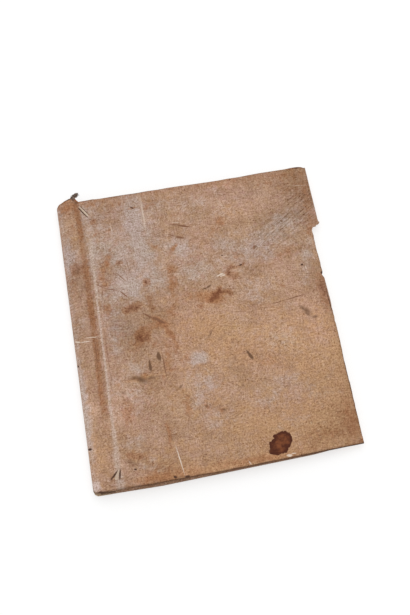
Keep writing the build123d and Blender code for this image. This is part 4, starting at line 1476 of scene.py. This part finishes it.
        # the wall of a cut tail edge: painted shade, darkest on its inner side, with some brown
        # dirt
        tail_wall_shade_and_dirt = np.exp(-((depth - self.cut_round) / 0.16).clip(-4, 0) ** 2) * (low < 1.0)
        tail_wall_shade_and_dirt = tail_wall_shade_and_dirt.ravel()
        draft.values[Wear.SHADE.value][: dirt.size] -= dirt + self.outer_dirt_and_shade * tail_wall_shade_and_dirt
        draft.values[Wear.SHADE.value][dirt.size:] -= self.edge_painted_shade * tail_wall_shade_and_dirt
        draft.values[Wear.WARM.value][: dirt.size] += dirt + self.outer_warm * tail_wall_shade_and_dirt
        return draft

    def shell(self, points: Array, flat_x: Array, y: Array, margin: Array) -> MeshDraft:
        """Joins the two faces of a panel to a closed shell.

        Args:
            points: vertices of the outer face, then of the inner face.
            flat_x: place across the flat skin, for the grid.
            y: place along it.
            margin: 1 where the skin is turned in.

        Returns:
            The draft, with its flat map, finishes and wear.
        """
        rows, columns = y.shape
        count = rows * columns
        outer = grid_quads(rows, columns)
        index = np.arange(count).reshape(rows, columns)
        border = np.concatenate([index[0, :-1], index[:-1, -1], index[-1, :0:-1], index[:0:-1, 0]])
        after = np.roll(border, -1)
        walls = np.stack([border + count, after + count, after, border], -1)
        inner = outer[:, ::-1] + count
        quads = np.concatenate([outer, inner, walls])
        flat = np.stack([flat_x.ravel() + self.flat_offset, y.ravel()], -1)
        inner_flat = flat + np.array([FLAT_SPAN, 0])
        wall_flat = np.stack([flat[border], flat[after], flat[after], flat[border]], 1)
        wall_flat[:, :2] += 0.4
        corner_flat = np.concatenate([flat[outer], inner_flat[outer[:, ::-1]], wall_flat])
        lining = margin.ravel()[outer].mean(1) < 0.5
        slots = np.concatenate([np.zeros(len(outer)), lining, np.zeros(len(walls))])
        values = {name: np.concatenate([value.ravel(), value.ravel() * 0])
                  for name, value in self.wear.values(flat_x, y).items()}
        values[Wear.RUBBED.value][count:] = 0.15
        values[Wear.WARM.value][count:] = 0.2
        if self.line.side < 0:
            quads, corner_flat = quads[:, ::-1], corner_flat[:, ::-1]
        return MeshDraft(points, quads, [], corner_flat, slots, values)


@dataclass
class FrontPanel(Panel):
    """Spine, groove and front cover: one skin, torn along the lower fore edge."""

    fore_at: float = 201.4  # fore edge at half height, where it is still folded
    # how far the edge moves where the tear begins, by y
    tear: Bends = ((176.5, -6.3), (178.7, -5.3), (181.1, 0.0), (182.5, 1.0), (183.7, 0.1),
                   (185.0, 0.0))
    # nicks and swells of the torn edge, by y
    nick: Bends = ((60, 0.0), (84, 0.8), (108, 0.8), (124, 0.5), (136.5, 0.2), (139.5, -1.2),
                   (140.5, 0.2), (150, 0.0), (162, -0.2), (176, -0.2), (184, 0.0))
    # head edge over the spine, by x
    cap: Bends = ((0.3, 227.4), (1.2, 228.4), (2.6, 229.2), (5.0, 229.1), (7.1, 230.0),
                  (10.5, 230.9), (13.0, 231.3), (15.5, 231.2), (17.4, 229.9), (19.2, 227.4),
                  (21.5, 226.6), (27.0, 226.6), (31.0, 226.9))
    # tail edge under the spine, by x
    foot: Bends = ((0.36, 4.4), (0.7, 3.4), (1.3, 2.3), (2.2, 1.3), (3.4, 0.6), (5.0, 0.25),
                   (11.6, 0.1), (19.0, 0.0))
    # how far the fold at the joint wanders along X, by y
    ridge: Bends = ((0, 0.1), (24, 0.1), (43.5, 0.4), (72, -0.3), (96, 0.0), (135, 0.1),
                    (171, 0.5), (209, -1.2), (218, -3.0), (232, -3.2))
    # head edge of the cover, by x
    head_bends: Bends = ((24, 226.9), (60, 227.3), (78, 227.7), (88, 228.1), (118, 228.1),
                         (128, 228.2), (150, 229.3), (166, 230.2), (180, 231.0), (192, 231.5),
                         (195, 231.3), (196.6, 230.4), (202, 230.2))
    # how far the tail edge leaves its slant, by x
    tail_bends: Bends = ((60, 0.0), (76, -0.4), (92, -0.7), (104, -1.1), (124, -1.25),
                         (148, -1.0), (180, -0.9), (196, -0.5))
    # places of the sewing supports along Y
    supports: tuple[float, ...] = (33.55, 74.55, 115.55, 156.55, 197.55)
    bump: tuple[float, float] = (0.22, 2.3)  # height and half width of the swell over each of them

    def head(self, x: Array) -> Array:
        """Head edge: capped over the spine, dented at the fore corner, a little wavy.

        Args:
            x: places across the book.

        Returns:
            The edge in y.
        """
        straight = bend_line(x, self.head_bends)
        straight = straight + 0.22 * lattice_noise(x, 0 * x, 9, 3) * soft_step(x, 24, 40)
        over = soft_step(x, 26, 31)
        return bend_line(x, self.cap) * (1 - over) + straight * over

    def tail(self, x: Array) -> Array:
        """Tail edge: worn round at the spine, a little wavy.

        Args:
            x: places across the book.

        Returns:
            The edge in y.
        """
        straight = super().tail(x) + bend_line(x, self.tail_bends)
        straight = straight + 0.18 * (1 + lattice_noise(x, 0 * x, 13, 4))
        over = soft_step(x, 14, 19)
        return bend_line(x, self.foot) * (1 - over) + straight * over

    def fore(self, y: Array) -> Array:
        """Fore edge: folded at the head, torn ragged below."""
        ragged = 0.22 * lattice_noise(y, 0 * y, 2.6, 8) + 0.3 * lattice_noise(y, 0 * y, 9, 9)
        ragged = ragged * (1 - soft_step(y, 176, 178))
        return super().fore(y) + bend_line(y, self.tear) + bend_line(y, self.nick) + ragged

    def fore_folded(self, y: Array) -> Array:
        """1 above the tear."""
        return soft_step(y, 180.6, 181.2)

    def shift(self, x: Array, y: Array) -> Array:
        """The fold at the joint wanders: its bends, faded out to both sides."""
        reach = soft_step(x, 11, 19) * (1 - soft_step(x, 24, 36))
        return bend_line(y, self.ridge) * reach

    def relief(self, x: Array, y: Array) -> Array:
        """Swells over the sewing supports, and slow waves over the cover.

        Args:
            x: places across the book.
            y: places along it.

        Returns:
            The height over the section.
        """
        high, half = self.bump
        bumps = sum(np.exp(-(((y - at) / half) ** 2)) for at in self.supports)
        bumps = bumps * soft_step(x, 1.5, 5) * (1 - soft_step(x, 12, 18)) * high
        waves = 0.10 * lattice_noise(x, y, 34, 21) + 0.05 * lattice_noise(x, y, 11, 22)
        return bumps + waves * soft_step(x, 24, 44) + 0.03 * lattice_noise(x, y, 5, 23)

    def surface(self, x: Array, y: Array) -> tuple[Array, Array]:
        """Outer face over or under given places.

        Args:
            x: places across the book.
            y: places along it.

        Returns:
            Points of the face and its normals, both (n, 3).
        """
        along = self.line.along_of(x - self.shift(x, y))
        out = self.relief(x, y)
        normal = np.stack([self.line.read(self.line.normal_x, along), 0 * x,
                           self.line.read(self.line.normal_z, along)], -1)
        points = np.stack([x, y, self.line.read(self.line.z, along)], -1)
        return points + normal * out[:, None], normal


FRONT_LINE = SectionLine(
    ((0.35, 1.3), (0.35, 4.9), (5.21, 10.05), (11.97, 11.8), (17.37, 10.55), (19.1, 11.2),
     (21.6, 12.75), (64.85, 12.17), (116.75, 11.22), (160.0, 9.85), (182.49, 8.3), (201.5, 6.58)),
    soften=2.0,
)
BACK_LINE = SectionLine(((0.35, 1.3), (0.35, 0.0), (60.0, 0.0), (181.0, 0.0)), soften=1.0,
                        side=-1.0)


class BackPanel(Panel):
    """Back panel, with the tail corner of its fore edge worn round."""

    worn_from: ClassVar[float] = 156.0  # place across the book at which the wear begins
    worn_run: ClassVar[float] = 24.0  # way over which the edge rises by worn_rise
    worn_rise: ClassVar[float] = 1.5
    worn_end: ClassVar[float] = 26.0  # way after which it rises no more

    def tail(self, x: Array) -> Array:
        """Tail edge at x: it climbs with the square of the way into the corner."""
        way = np.clip(x - self.worn_from, 0, self.worn_end)
        return super().tail(x) + self.worn_rise * (way / self.worn_run) ** 2


@dataclass(frozen=True)
class Strap:
    """A strip of pale skin laced through the wrapper: it leaves one slit and enters the next."""

    name: str
    start: tuple[float, float]  # slit that it leaves (x, y)
    end: tuple[float, float]  # slit that it enters
    wide: tuple[float, float, float]  # half widths at start, middle and end
    high: float = 0.28
    proud: float = 0.10  # how far its middle line stands above the skin
    sunk: float = 0.42  # how far its ends lie below the skin's face
    blunt: float = 0.6  # power of its rise; the lower, the sooner it reaches its height
    stations: int = 48
    sides: int = 16

    def build(self, panel: FrontPanel) -> MeshDraft:
        """The strap's draft.

        Args:
            panel: the skin that it is laced through.

        Returns:
            A flat bar whose middle line lies at sin(pi t)^blunt of its rise over the skin.
        """
        share = np.linspace(0, 1, self.stations)
        x = self.start[0] + (self.end[0] - self.start[0]) * share
        y = self.start[1] + (self.end[1] - self.start[1]) * share
        points, normal = panel.surface(x, y)
        rise = np.sin(np.pi * share) ** self.blunt * (self.proud + self.sunk) - self.sunk
        path = points + normal * rise[:, None]
        along = unit(np.gradient(path, axis=0))
        side = unit(np.cross(normal, along))
        wide = np.interp(share, (0, 0.5, 1), self.wide)
        high = np.full(self.stations, self.high)
        return Sweep(path, side, np.cross(along, side), wide, high, self.sides).draft()


# ---- leaves ----
@dataclass
class LeafStack:
    """The text block: quires of folded sheets, slumped towards the fore edge."""

    place: BookPlace
    quires: int = 5  # gatherings
    sheets: int = 5  # folded sheets in each
    thickness: float = 8.6  # all quires at the spine
    leaf_width: float = 173.0  # fold to fore edge
    first_fold: float = 3.35  # fold of the lowest quire
    last_fold: float = 22.8  # fold of the highest quire
    ridge_x: float = 21.6  # place across the book from which the block sinks
    bottom: float = 2.0  # height of its lower face
    # how far each quire's fold lies from the first to the last
    steps: tuple[float, ...] = (0, 0.13, 0.34, 0.82, 1.0)
    overhang: float = 2.6  # how far each quire stands past the one below
    shear: float = 4.0  # how far the uppermost leaves moved outwards
    nose: float = 0.72  # how far a quire's fold bulges
    square: float = 3.1  # distance of the leaves from the covers' head and tail edges
    sag: float = 0.1  # drop of the leaves' ends, for each millimetre past the first leaf
    # height of the block's top (share of width, share of thickness)
    settled: Bends = ((0, 1), (0.25, 0.95), (0.55, 0.84), (0.8, 0.68), (0.93, 0.5), (1.04, 0.3))
    stations: int = 34  # stations from fold to fore edge
    rows: int = 20
    # shares of the height at which the rows beside an edge lie
    rim: tuple[float, ...] = (0, 0.004, 0.011, 0.022, 0.04)
    filled: float = 0.94  # share of a leaf's room that its paper takes
    wave: float = 0.18  # height of the waves in a fore edge
    back: float = 0.35  # how far the fore edges stand back from the leaf width
    soil_reach: float = 2.6  # how far the soil of the edges reaches in

    def level(self, number: Array, x: Array) -> Array:
        """Height of the boundary above so many quires, at x.

        Args:
            number: quires below it, with parts of one.
            x: places across the book.

        Returns:
            The height.
        """
        share = (np.maximum(x, self.ridge_x) - self.ridge_x) / self.leaf_width
        top = self.thickness * bend_line(share, self.settled)
        drop = np.maximum(x - self.first_fold - self.leaf_width, 0) * self.sag
        return self.bottom - drop + (top + drop) * number / self.quires

    def sheet(self, quire: int, sheet: int, random: np.random.Generator) -> MeshDraft:
        """One folded sheet.

        Args:
            quire: its quire, from 0 at the bottom.
            sheet: its place in the quire, from 0 outside.
            random: source of the small differences between leaves.

        Returns:
            A U in the X-Z section, carried from tail to head: the outer path runs from the
            fore edge of the lower leaf round the fold to that of the upper leaf, and the
            inner path back.
        """
        leaf = 0.5 / self.sheets
        fold = self.first_fold + self.steps[quire] * (self.last_fold - self.first_fold)
        end = self.first_fold + self.leaf_width + quire * self.overhang
        end = end + self.steps[quire] * self.shear - self.back
        rim = np.array(self.rim)
        inner = np.linspace(0.08, 0.92, self.rows - 2 * len(rim))
        y = np.concatenate([rim, inner, 1 - rim[::-1]])[:, None]
        fore = end + random.uniform(-0.35, 0.1, 2)
        wavy = [self.wave * lattice_noise(y * 220, 0 * y + quire * 9 + sheet + leaf_number, 14, 31)
                for leaf_number in (0, 1)]
        head, tail = random.uniform(-0.3, 0.25, (2, 2))
        paths = []
        for depth in (sheet * leaf, (sheet + self.filled) * leaf):
            nose = self.nose * (1 - depth * 1.7)
            start = fold + self.nose + 0.05
            spread = (1 - np.cos(np.linspace(0, np.pi, self.stations))) / 2
            lower_x = start + (fore[0] + wavy[0] - start) * spread[::-1]
            upper_x = start + (fore[1] + wavy[1] - start) * spread
            lower_z = self.level(quire + depth, lower_x)
            upper_z = self.level(quire + 1 - depth, upper_x)
            turn = np.linspace(-np.pi / 2, -3 * np.pi / 2, 9)[None, 1:-1]
            low, high = lower_z[:, -1:], upper_z[:, :1]
            arc_x = start + nose * np.cos(turn) + 0 * low
            arc_z = (low + high) / 2 + (high - low) / 2 * np.sin(turn)
            paths.append((np.hstack([lower_x, arc_x, upper_x]),
                          np.hstack([lower_z, arc_z, upper_z])))
        (outer_x, outer_z), (inner_x, inner_z) = paths
        count = outer_x.shape[1]
        section_x = np.hstack([outer_x, inner_x[:, ::-1]])
        section_z = np.hstack([outer_z, inner_z[:, ::-1]])
        upper = np.arange(count) >= count / 2
        upper = np.concatenate([upper, upper[::-1]]).astype(int)
        foot = np.maximum(section_x - TAIL_SQUARE, 0) * TAIL_SLANT + self.square
        top = HEIGHT + (section_x - FRONT_JOINT) * HEAD_SLANT - self.square
        foot, top = foot + np.abs(tail[upper]), top - np.abs(head[upper])
        section_y = foot + (top - foot) * y
        points = np.stack([section_x, section_y, section_z], -1).reshape(-1, 3)
        index = np.arange(self.rows * 2 * count).reshape(self.rows, 2 * count)
        after = np.roll(index, -1, axis=1)
        sides = np.stack([index[:-1], index[1:], after[1:], after[:-1]], -1).reshape(-1, 4)
        caps = []
        for row, order in ((index[0], 1), (index[-1], -1)):
            outer, inner = row[:count], row[count:][::-1]
            caps.append(np.stack([outer[:-1], outer[1:], inner[1:], inner[:-1]], -1)[:, ::order])
        quads = np.concatenate([sides, *caps])
        inside = np.minimum.reduce([section_y - foot, top - section_y, end + 0.2 - section_x])
        values = {
            "edge": np.exp(-np.maximum(inside, 0) / self.soil_reach).ravel(),
            "leaf": np.full(points.shape[0], 1 + random.uniform(-0.14, 0.06)),
        }
        return MeshDraft(points, quads, [], None, None, values)

    def build(self) -> MeshDraft:
        """All sheets of all quires."""
        random = np.random.default_rng(41)
        return MeshDraft.joined([self.sheet(quire, sheet, random)
                                 for quire in range(self.quires) for sheet in range(self.sheets)])


@dataclass
class FrayedCore:
    """End of the head endband's core, which has burst into a twist of loose fibres."""

    route: tuple[Place, ...]  # middle line (x, y, z) from the end of the core outwards
    fibres: int = 44
    # distance of the fibres from the middle line, at the start and at the end
    spread: tuple[float, float] = (0.95, 1.5)
    turns: float = 1.6
    radius: float = 0.27
    stations: int = 44
    window: int = 11  # stations over which the route is smoothed
    beside: Place = (0.2, -0.3, 0.93)  # a direction in which the route never runs

    def build(self) -> MeshDraft:
        """The fibres: each winds round the middle line, and some leave it as loops.

        Returns:
            Their joint draft.
        """
        random = np.random.default_rng(17)
        stops = np.array(self.route)
        share = np.linspace(0, 1, self.stations)
        knots = np.linspace(0, 1, len(stops))
        kernel = np.hanning(self.window)
        ends = (self.window // 2, self.window // 2)
        bars = []
        for _ in range(self.fibres):
            length = random.uniform(0.72, 1.0)
            way = share * length
            middle = np.stack([np.interp(way, knots, axis) for axis in stops.T], -1)
            padded = np.pad(middle, (ends, (0, 0)), "edge")
            middle = np.stack([np.convolve(axis, kernel / kernel.sum(), "valid")
                               for axis in padded.T], -1)
            along = unit(np.gradient(middle, axis=0))
            side = unit(np.cross(np.array(self.beside), along))
            turn = random.uniform(0, 2 * np.pi) + way * self.turns * 2 * np.pi
            turn = turn + 0.5 * np.sin(way * random.uniform(8, 16))
            away = np.interp(way, (0, 1), self.spread) * random.uniform(0.35, 1.0)
            away = away * (1 + 0.45 * np.sin(way * random.uniform(9, 18) + random.uniform(0, 6)))
            path = middle + side * (away * np.cos(turn))[:, None]
            path = path + np.cross(along, side) * (away * np.sin(turn))[:, None]
            thick = self.radius * random.uniform(0.6, 1.35)
            radius = thick * (1 - 0.55 * share ** 3)
            bars.append(Sweep.fibre(path, radius).draft())
        return MeshDraft.joined(bars)


# ---- studio ----
@dataclass(frozen=True)
class Studio:
    """Pale floor, soft light from all round, and the camera."""

    floor_half: float = 3.0  # half width of the floor, in metres
    ambient: float = 0.66  # strength of the light from all round
    lamp_power: float = 8.2  # watts of the overhead lamp
    lamp_size: float = 1.5  # its width, in metres
    lamp_at: Place = (0.15, 0.35, 1.5)  # its place, in metres from the book
    eye: Place = (-0.0338, -0.2595, 0.78805)  # place of the camera, in metres
    aim: Place = (0.0535, 0.3295, -0.9426)  # direction in which it looks
    lens: float = 64.39  # its focal length, in millimetres
    sensor: float = 36.0  # width of its sensor, in millimetres
    nearest: float = 0.01  # nearest thing that it sees, in metres
    gap: float = 0.0001  # room between the floor and the book, in metres

    def floor(self) -> bpy.types.Object:
        """Lays the floor under the book.

        Returns:
            The floor.
        """
        half, height = self.floor_half, float(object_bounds()[0].z) - self.gap
        corners = [(-half, -half, height), (half, -half, height), (half, half, height),
                   (-half, half, height)]
        mesh = bpy.data.meshes.new("floor")
        mesh.from_pydata(corners, [], [(0, 1, 2, 3)])
        mesh.materials.append(PaleFloor().make())
        made = bpy.data.objects.new("floor", mesh)
        bpy.context.scene.collection.objects.link(made)
        made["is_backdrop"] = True
        return made

    def world(self) -> None:
        """Sets the light from all round; seen directly or mirrored it is plain white."""
        world = bpy.data.worlds.new("studio")
        bpy.context.scene.world = world
        world.use_nodes = True
        tree = world.node_tree
        back = tree.nodes["Background"]
        back.inputs["Color"].default_value = (1, 1, 1, 1)
        path = tree.nodes.new("ShaderNodeLightPath")
        seen = path.outputs["Is Camera Ray"]
        for ray in ("Is Transmission Ray", "Is Glossy Ray"):
            either = tree.nodes.new("ShaderNodeMath")
            either.operation = "MAXIMUM"
            tree.links.new(seen, either.inputs[0])
            tree.links.new(path.outputs[ray], either.inputs[1])
            seen = either.outputs[0]
        level = tree.nodes.new("ShaderNodeMapRange")
        tree.links.new(seen, level.inputs["Value"])
        level.inputs["To Min"].default_value = self.ambient
        level.inputs["To Max"].default_value = 1.0
        tree.links.new(level.outputs["Result"], back.inputs["Strength"])

    def lamp(self) -> bpy.types.Object:
        """Hangs the overhead lamp, turned down to the book.

        Returns:
            The lamp.
        """
        light = bpy.data.lights.new("overhead", "AREA")
        light.shape = "SQUARE"
        light.size = self.lamp_size
        light.energy = self.lamp_power
        made = bpy.data.objects.new("overhead", light)
        made.location = self.lamp_at
        made.rotation_euler = (-Vector(self.lamp_at)).to_track_quat("-Z", "Y").to_euler()
        bpy.context.scene.collection.objects.link(made)
        made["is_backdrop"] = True
        return made

    def camera(self) -> bpy.types.Object:
        """Stands the camera where the book is seen from above, with a level horizon.

        Returns:
            The camera.
        """
        data = bpy.data.cameras.new("camera")
        data.lens = self.lens
        data.sensor_width = self.sensor
        data.clip_start = self.nearest
        made = bpy.data.objects.new("camera", data)
        made.location = self.eye
        made.rotation_euler = Vector(self.aim).to_track_quat("-Z", "Y").to_euler()
        bpy.context.scene.collection.objects.link(made)
        bpy.context.scene.camera = made
        return made

    def build(self) -> None:
        """Builds the whole studio and keeps colours as they are written."""
        bpy.context.scene.view_settings.view_transform = "Standard"
        self.floor()
        self.world()
        self.lamp()
        self.camera()


# ---- the manuscript ----
@dataclass
class Wrapper:
    """The limp skin wrapper: front panel with the spine, back panel, and the laced strips."""

    place: BookPlace
    outer: bpy.types.Material
    lining: bpy.types.Material  # finish of the flesh side
    strip: bpy.types.Material
    front: FrontPanel = field(init=False)

    def __post_init__(self) -> None:
        """Lays out the front panel, which the strips need too."""
        self.front = FrontPanel(
            self.place, FRONT_LINE, FRONT_WEAR, step=1.35,
            dense_x=((14.0, 28.0),), dense_y=((6.0, 16.5), (174.5, 185.5), (208.0, 223.0)),
        )

    def bend(self, piece: bpy.types.Object, *nodes: str) -> bpy.types.Object:
        """Bakes a piece's place into its mesh and lets it stand for its solids.

        Args:
            piece: the piece.
            nodes: names of the solids that it stands for.

        Returns:
            The piece.
        """
        self.place.point(17.0, 113.5, 11.4)
        self.place.point(21.6, 113.5, 11.4)
        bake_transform(piece)
        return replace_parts(piece, *nodes)

    def build_front(self) -> bpy.types.Object:
        """Spine, groove and front cover, in one skin.

        Returns:
            The piece.
        """
        finishes = [self.outer, self.lining]
        piece = self.front.build().finish("front_skin", self.place, finishes)
        return self.bend(piece, "front_cover", "spine_cover")

    def build_back(self) -> bpy.types.Object:
        """Back cover, with its bend up to the spine.

        Returns:
            The piece.
        """
        # lighter painted shade on the back panel's cut edges
        panel = BackPanel(self.place, BACK_LINE, BACK_WEAR, flat_offset=300.0,
                          joint=(-5.0, 13.0), step=1.9, edge_painted_shade=0.3)
        piece = panel.build().finish("back_skin", self.place, [self.outer, self.lining])
        self.place.point(0.35, 113.5, 1.6)
        self.place.point(1.9, 113.5, 0.0)
        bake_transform(piece)
        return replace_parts(piece, "back_cover")

    def build_straps(self) -> list[bpy.types.Object]:
        """The slip at the head, and the tucked one at the tail.

        Returns:
            Both pieces.
        """
        straps = (
            (Strap("head_strap", (17.9, 222.7), (24.3, 212.9), (0.5, 0.78, 0.62)),
             "head_slip_front"),
            (Strap("tail_strap", (17.5, 7.2), (21.4, 15.0), (1.6, 1.15, 0.35)),
             "tail_slip_front"),
        )
        made = []
        for strap, node in straps:
            piece = strap.build(self.front).finish(strap.name, self.place, [self.strip])
            made.append(self.bend(piece, node))
        return made


@dataclass
class BookBlock:
    """Leaves, sewing, supports and endbands."""

    place: BookPlace
    nodes: dict[str, bpy.types.Object]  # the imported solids, by name

    def build_leaves(self, paper: bpy.types.Material) -> bpy.types.Object:
        """The folded sheets of all quires.

        Args:
            paper: finish of the leaves.

        Returns:
            The piece.
        """
        piece = LeafStack(self.place).build().finish("leaves", self.place, [paper])
        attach(piece, "book_block")
        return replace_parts(piece, "text_block")

    def build_frayed_core(self, fibre: bpy.types.Material) -> bpy.types.Object:
        """The burst end of the head endband's core, past the head of the spine.

        Args:
            fibre: finish of the fibres.

        Returns:
            The piece.
        """
        route = ((16.6, 227.6, 9.2), (15.0, 229.8, 10.4), (13.9, 231.2, 11.2),
                 (15.4, 232.3, 11.3), (17.2, 233.0, 11.0), (19.3, 234.3, 10.4))
        piece = FrayedCore(route).build().finish("frayed_core", self.place, [fibre])
        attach(piece, "book_block")
        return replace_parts(piece, "frayed_core_end")

    def dress(self, finishes: dict[str, tuple[bpy.types.Material, str]]) -> int:
        """Gives the carried-over solids their materials.

        Args:
            finishes: material and slot for each start of a solid's name.

        Returns:
            How many solids were dressed.
        """
        count = 0
        for name, node in self.nodes.items():
            for start, (finish, slot) in finishes.items():
                if name.startswith(start):
                    node.data.materials.clear()
                    node.data.materials.append(finish)
                    count += 1
        return count


def corners(bounds: tuple[Vector, Vector]) -> list[list[float]]:
    """Lowest and highest corner as plain lists."""
    return [[float(part) for part in corner] for corner in bounds]


def main() -> None:
    """Builds the manuscript piece by piece over its solids, and its studio."""
    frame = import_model()
    place = BookPlace.from_solids()

    outer = OuterSkin(FRONT_WEAR.marks).make()
    lining = Fibrous("skin_lining", display(206, 181, 152), display(184, 155, 125), 2.0, 0.8,
                     moving=True).make()
    strip = Fibrous("tawed_strip", display(222, 204, 184), display(186, 158, 134), 5.0, 0.35,
                    moving=True).make()
    wrapper = Wrapper(place, outer, lining, strip)
    for piece in (wrapper.build_front(), wrapper.build_back(), *wrapper.build_straps()):
        log.info("%s: %d faces", piece.name, len(piece.data.polygons))

    block = BookBlock(place, frame["nodes"])
    leaves = block.build_leaves(Paper().make())
    frayed = block.build_frayed_core(FrayedFibre().make())
    for piece in (leaves, frayed):
        log.info("%s: %d faces", piece.name, len(piece.data.polygons))
    support = Fibrous("support_skin", display(206, 186, 156), display(160, 132, 102)).make()
    core = Fibrous("core_skin", display(190, 164, 134), display(140, 112, 86)).make()
    slips = Fibrous("slip_skin", display(222, 204, 184), display(186, 158, 134)).make()
    thread = Thread().make()
    soiled = Thread("soiled_thread", display(132, 104, 80), display(84, 60, 44)).make()
    count = block.dress({
        "sewing_support": (support, "support_skin"),
        "head_endband_core": (core, "core_skin"),
        "tail_endband_core": (core, "core_skin"),
        "head_slip_back": (slips, "slip_skin"),
        "tail_slip_back": (slips, "slip_skin"),
        "sewing_thread": (thread, "thread"),
        "head_endband_winding": (soiled, "thread"),
        "tail_endband_winding": (soiled, "thread"),
    })
    log.info("%d solids dressed", count)

    Studio().build()


if __name__ == "__main__":
    logging.basicConfig(level=logging.INFO, format="%(name)s: %(message)s")
    main()
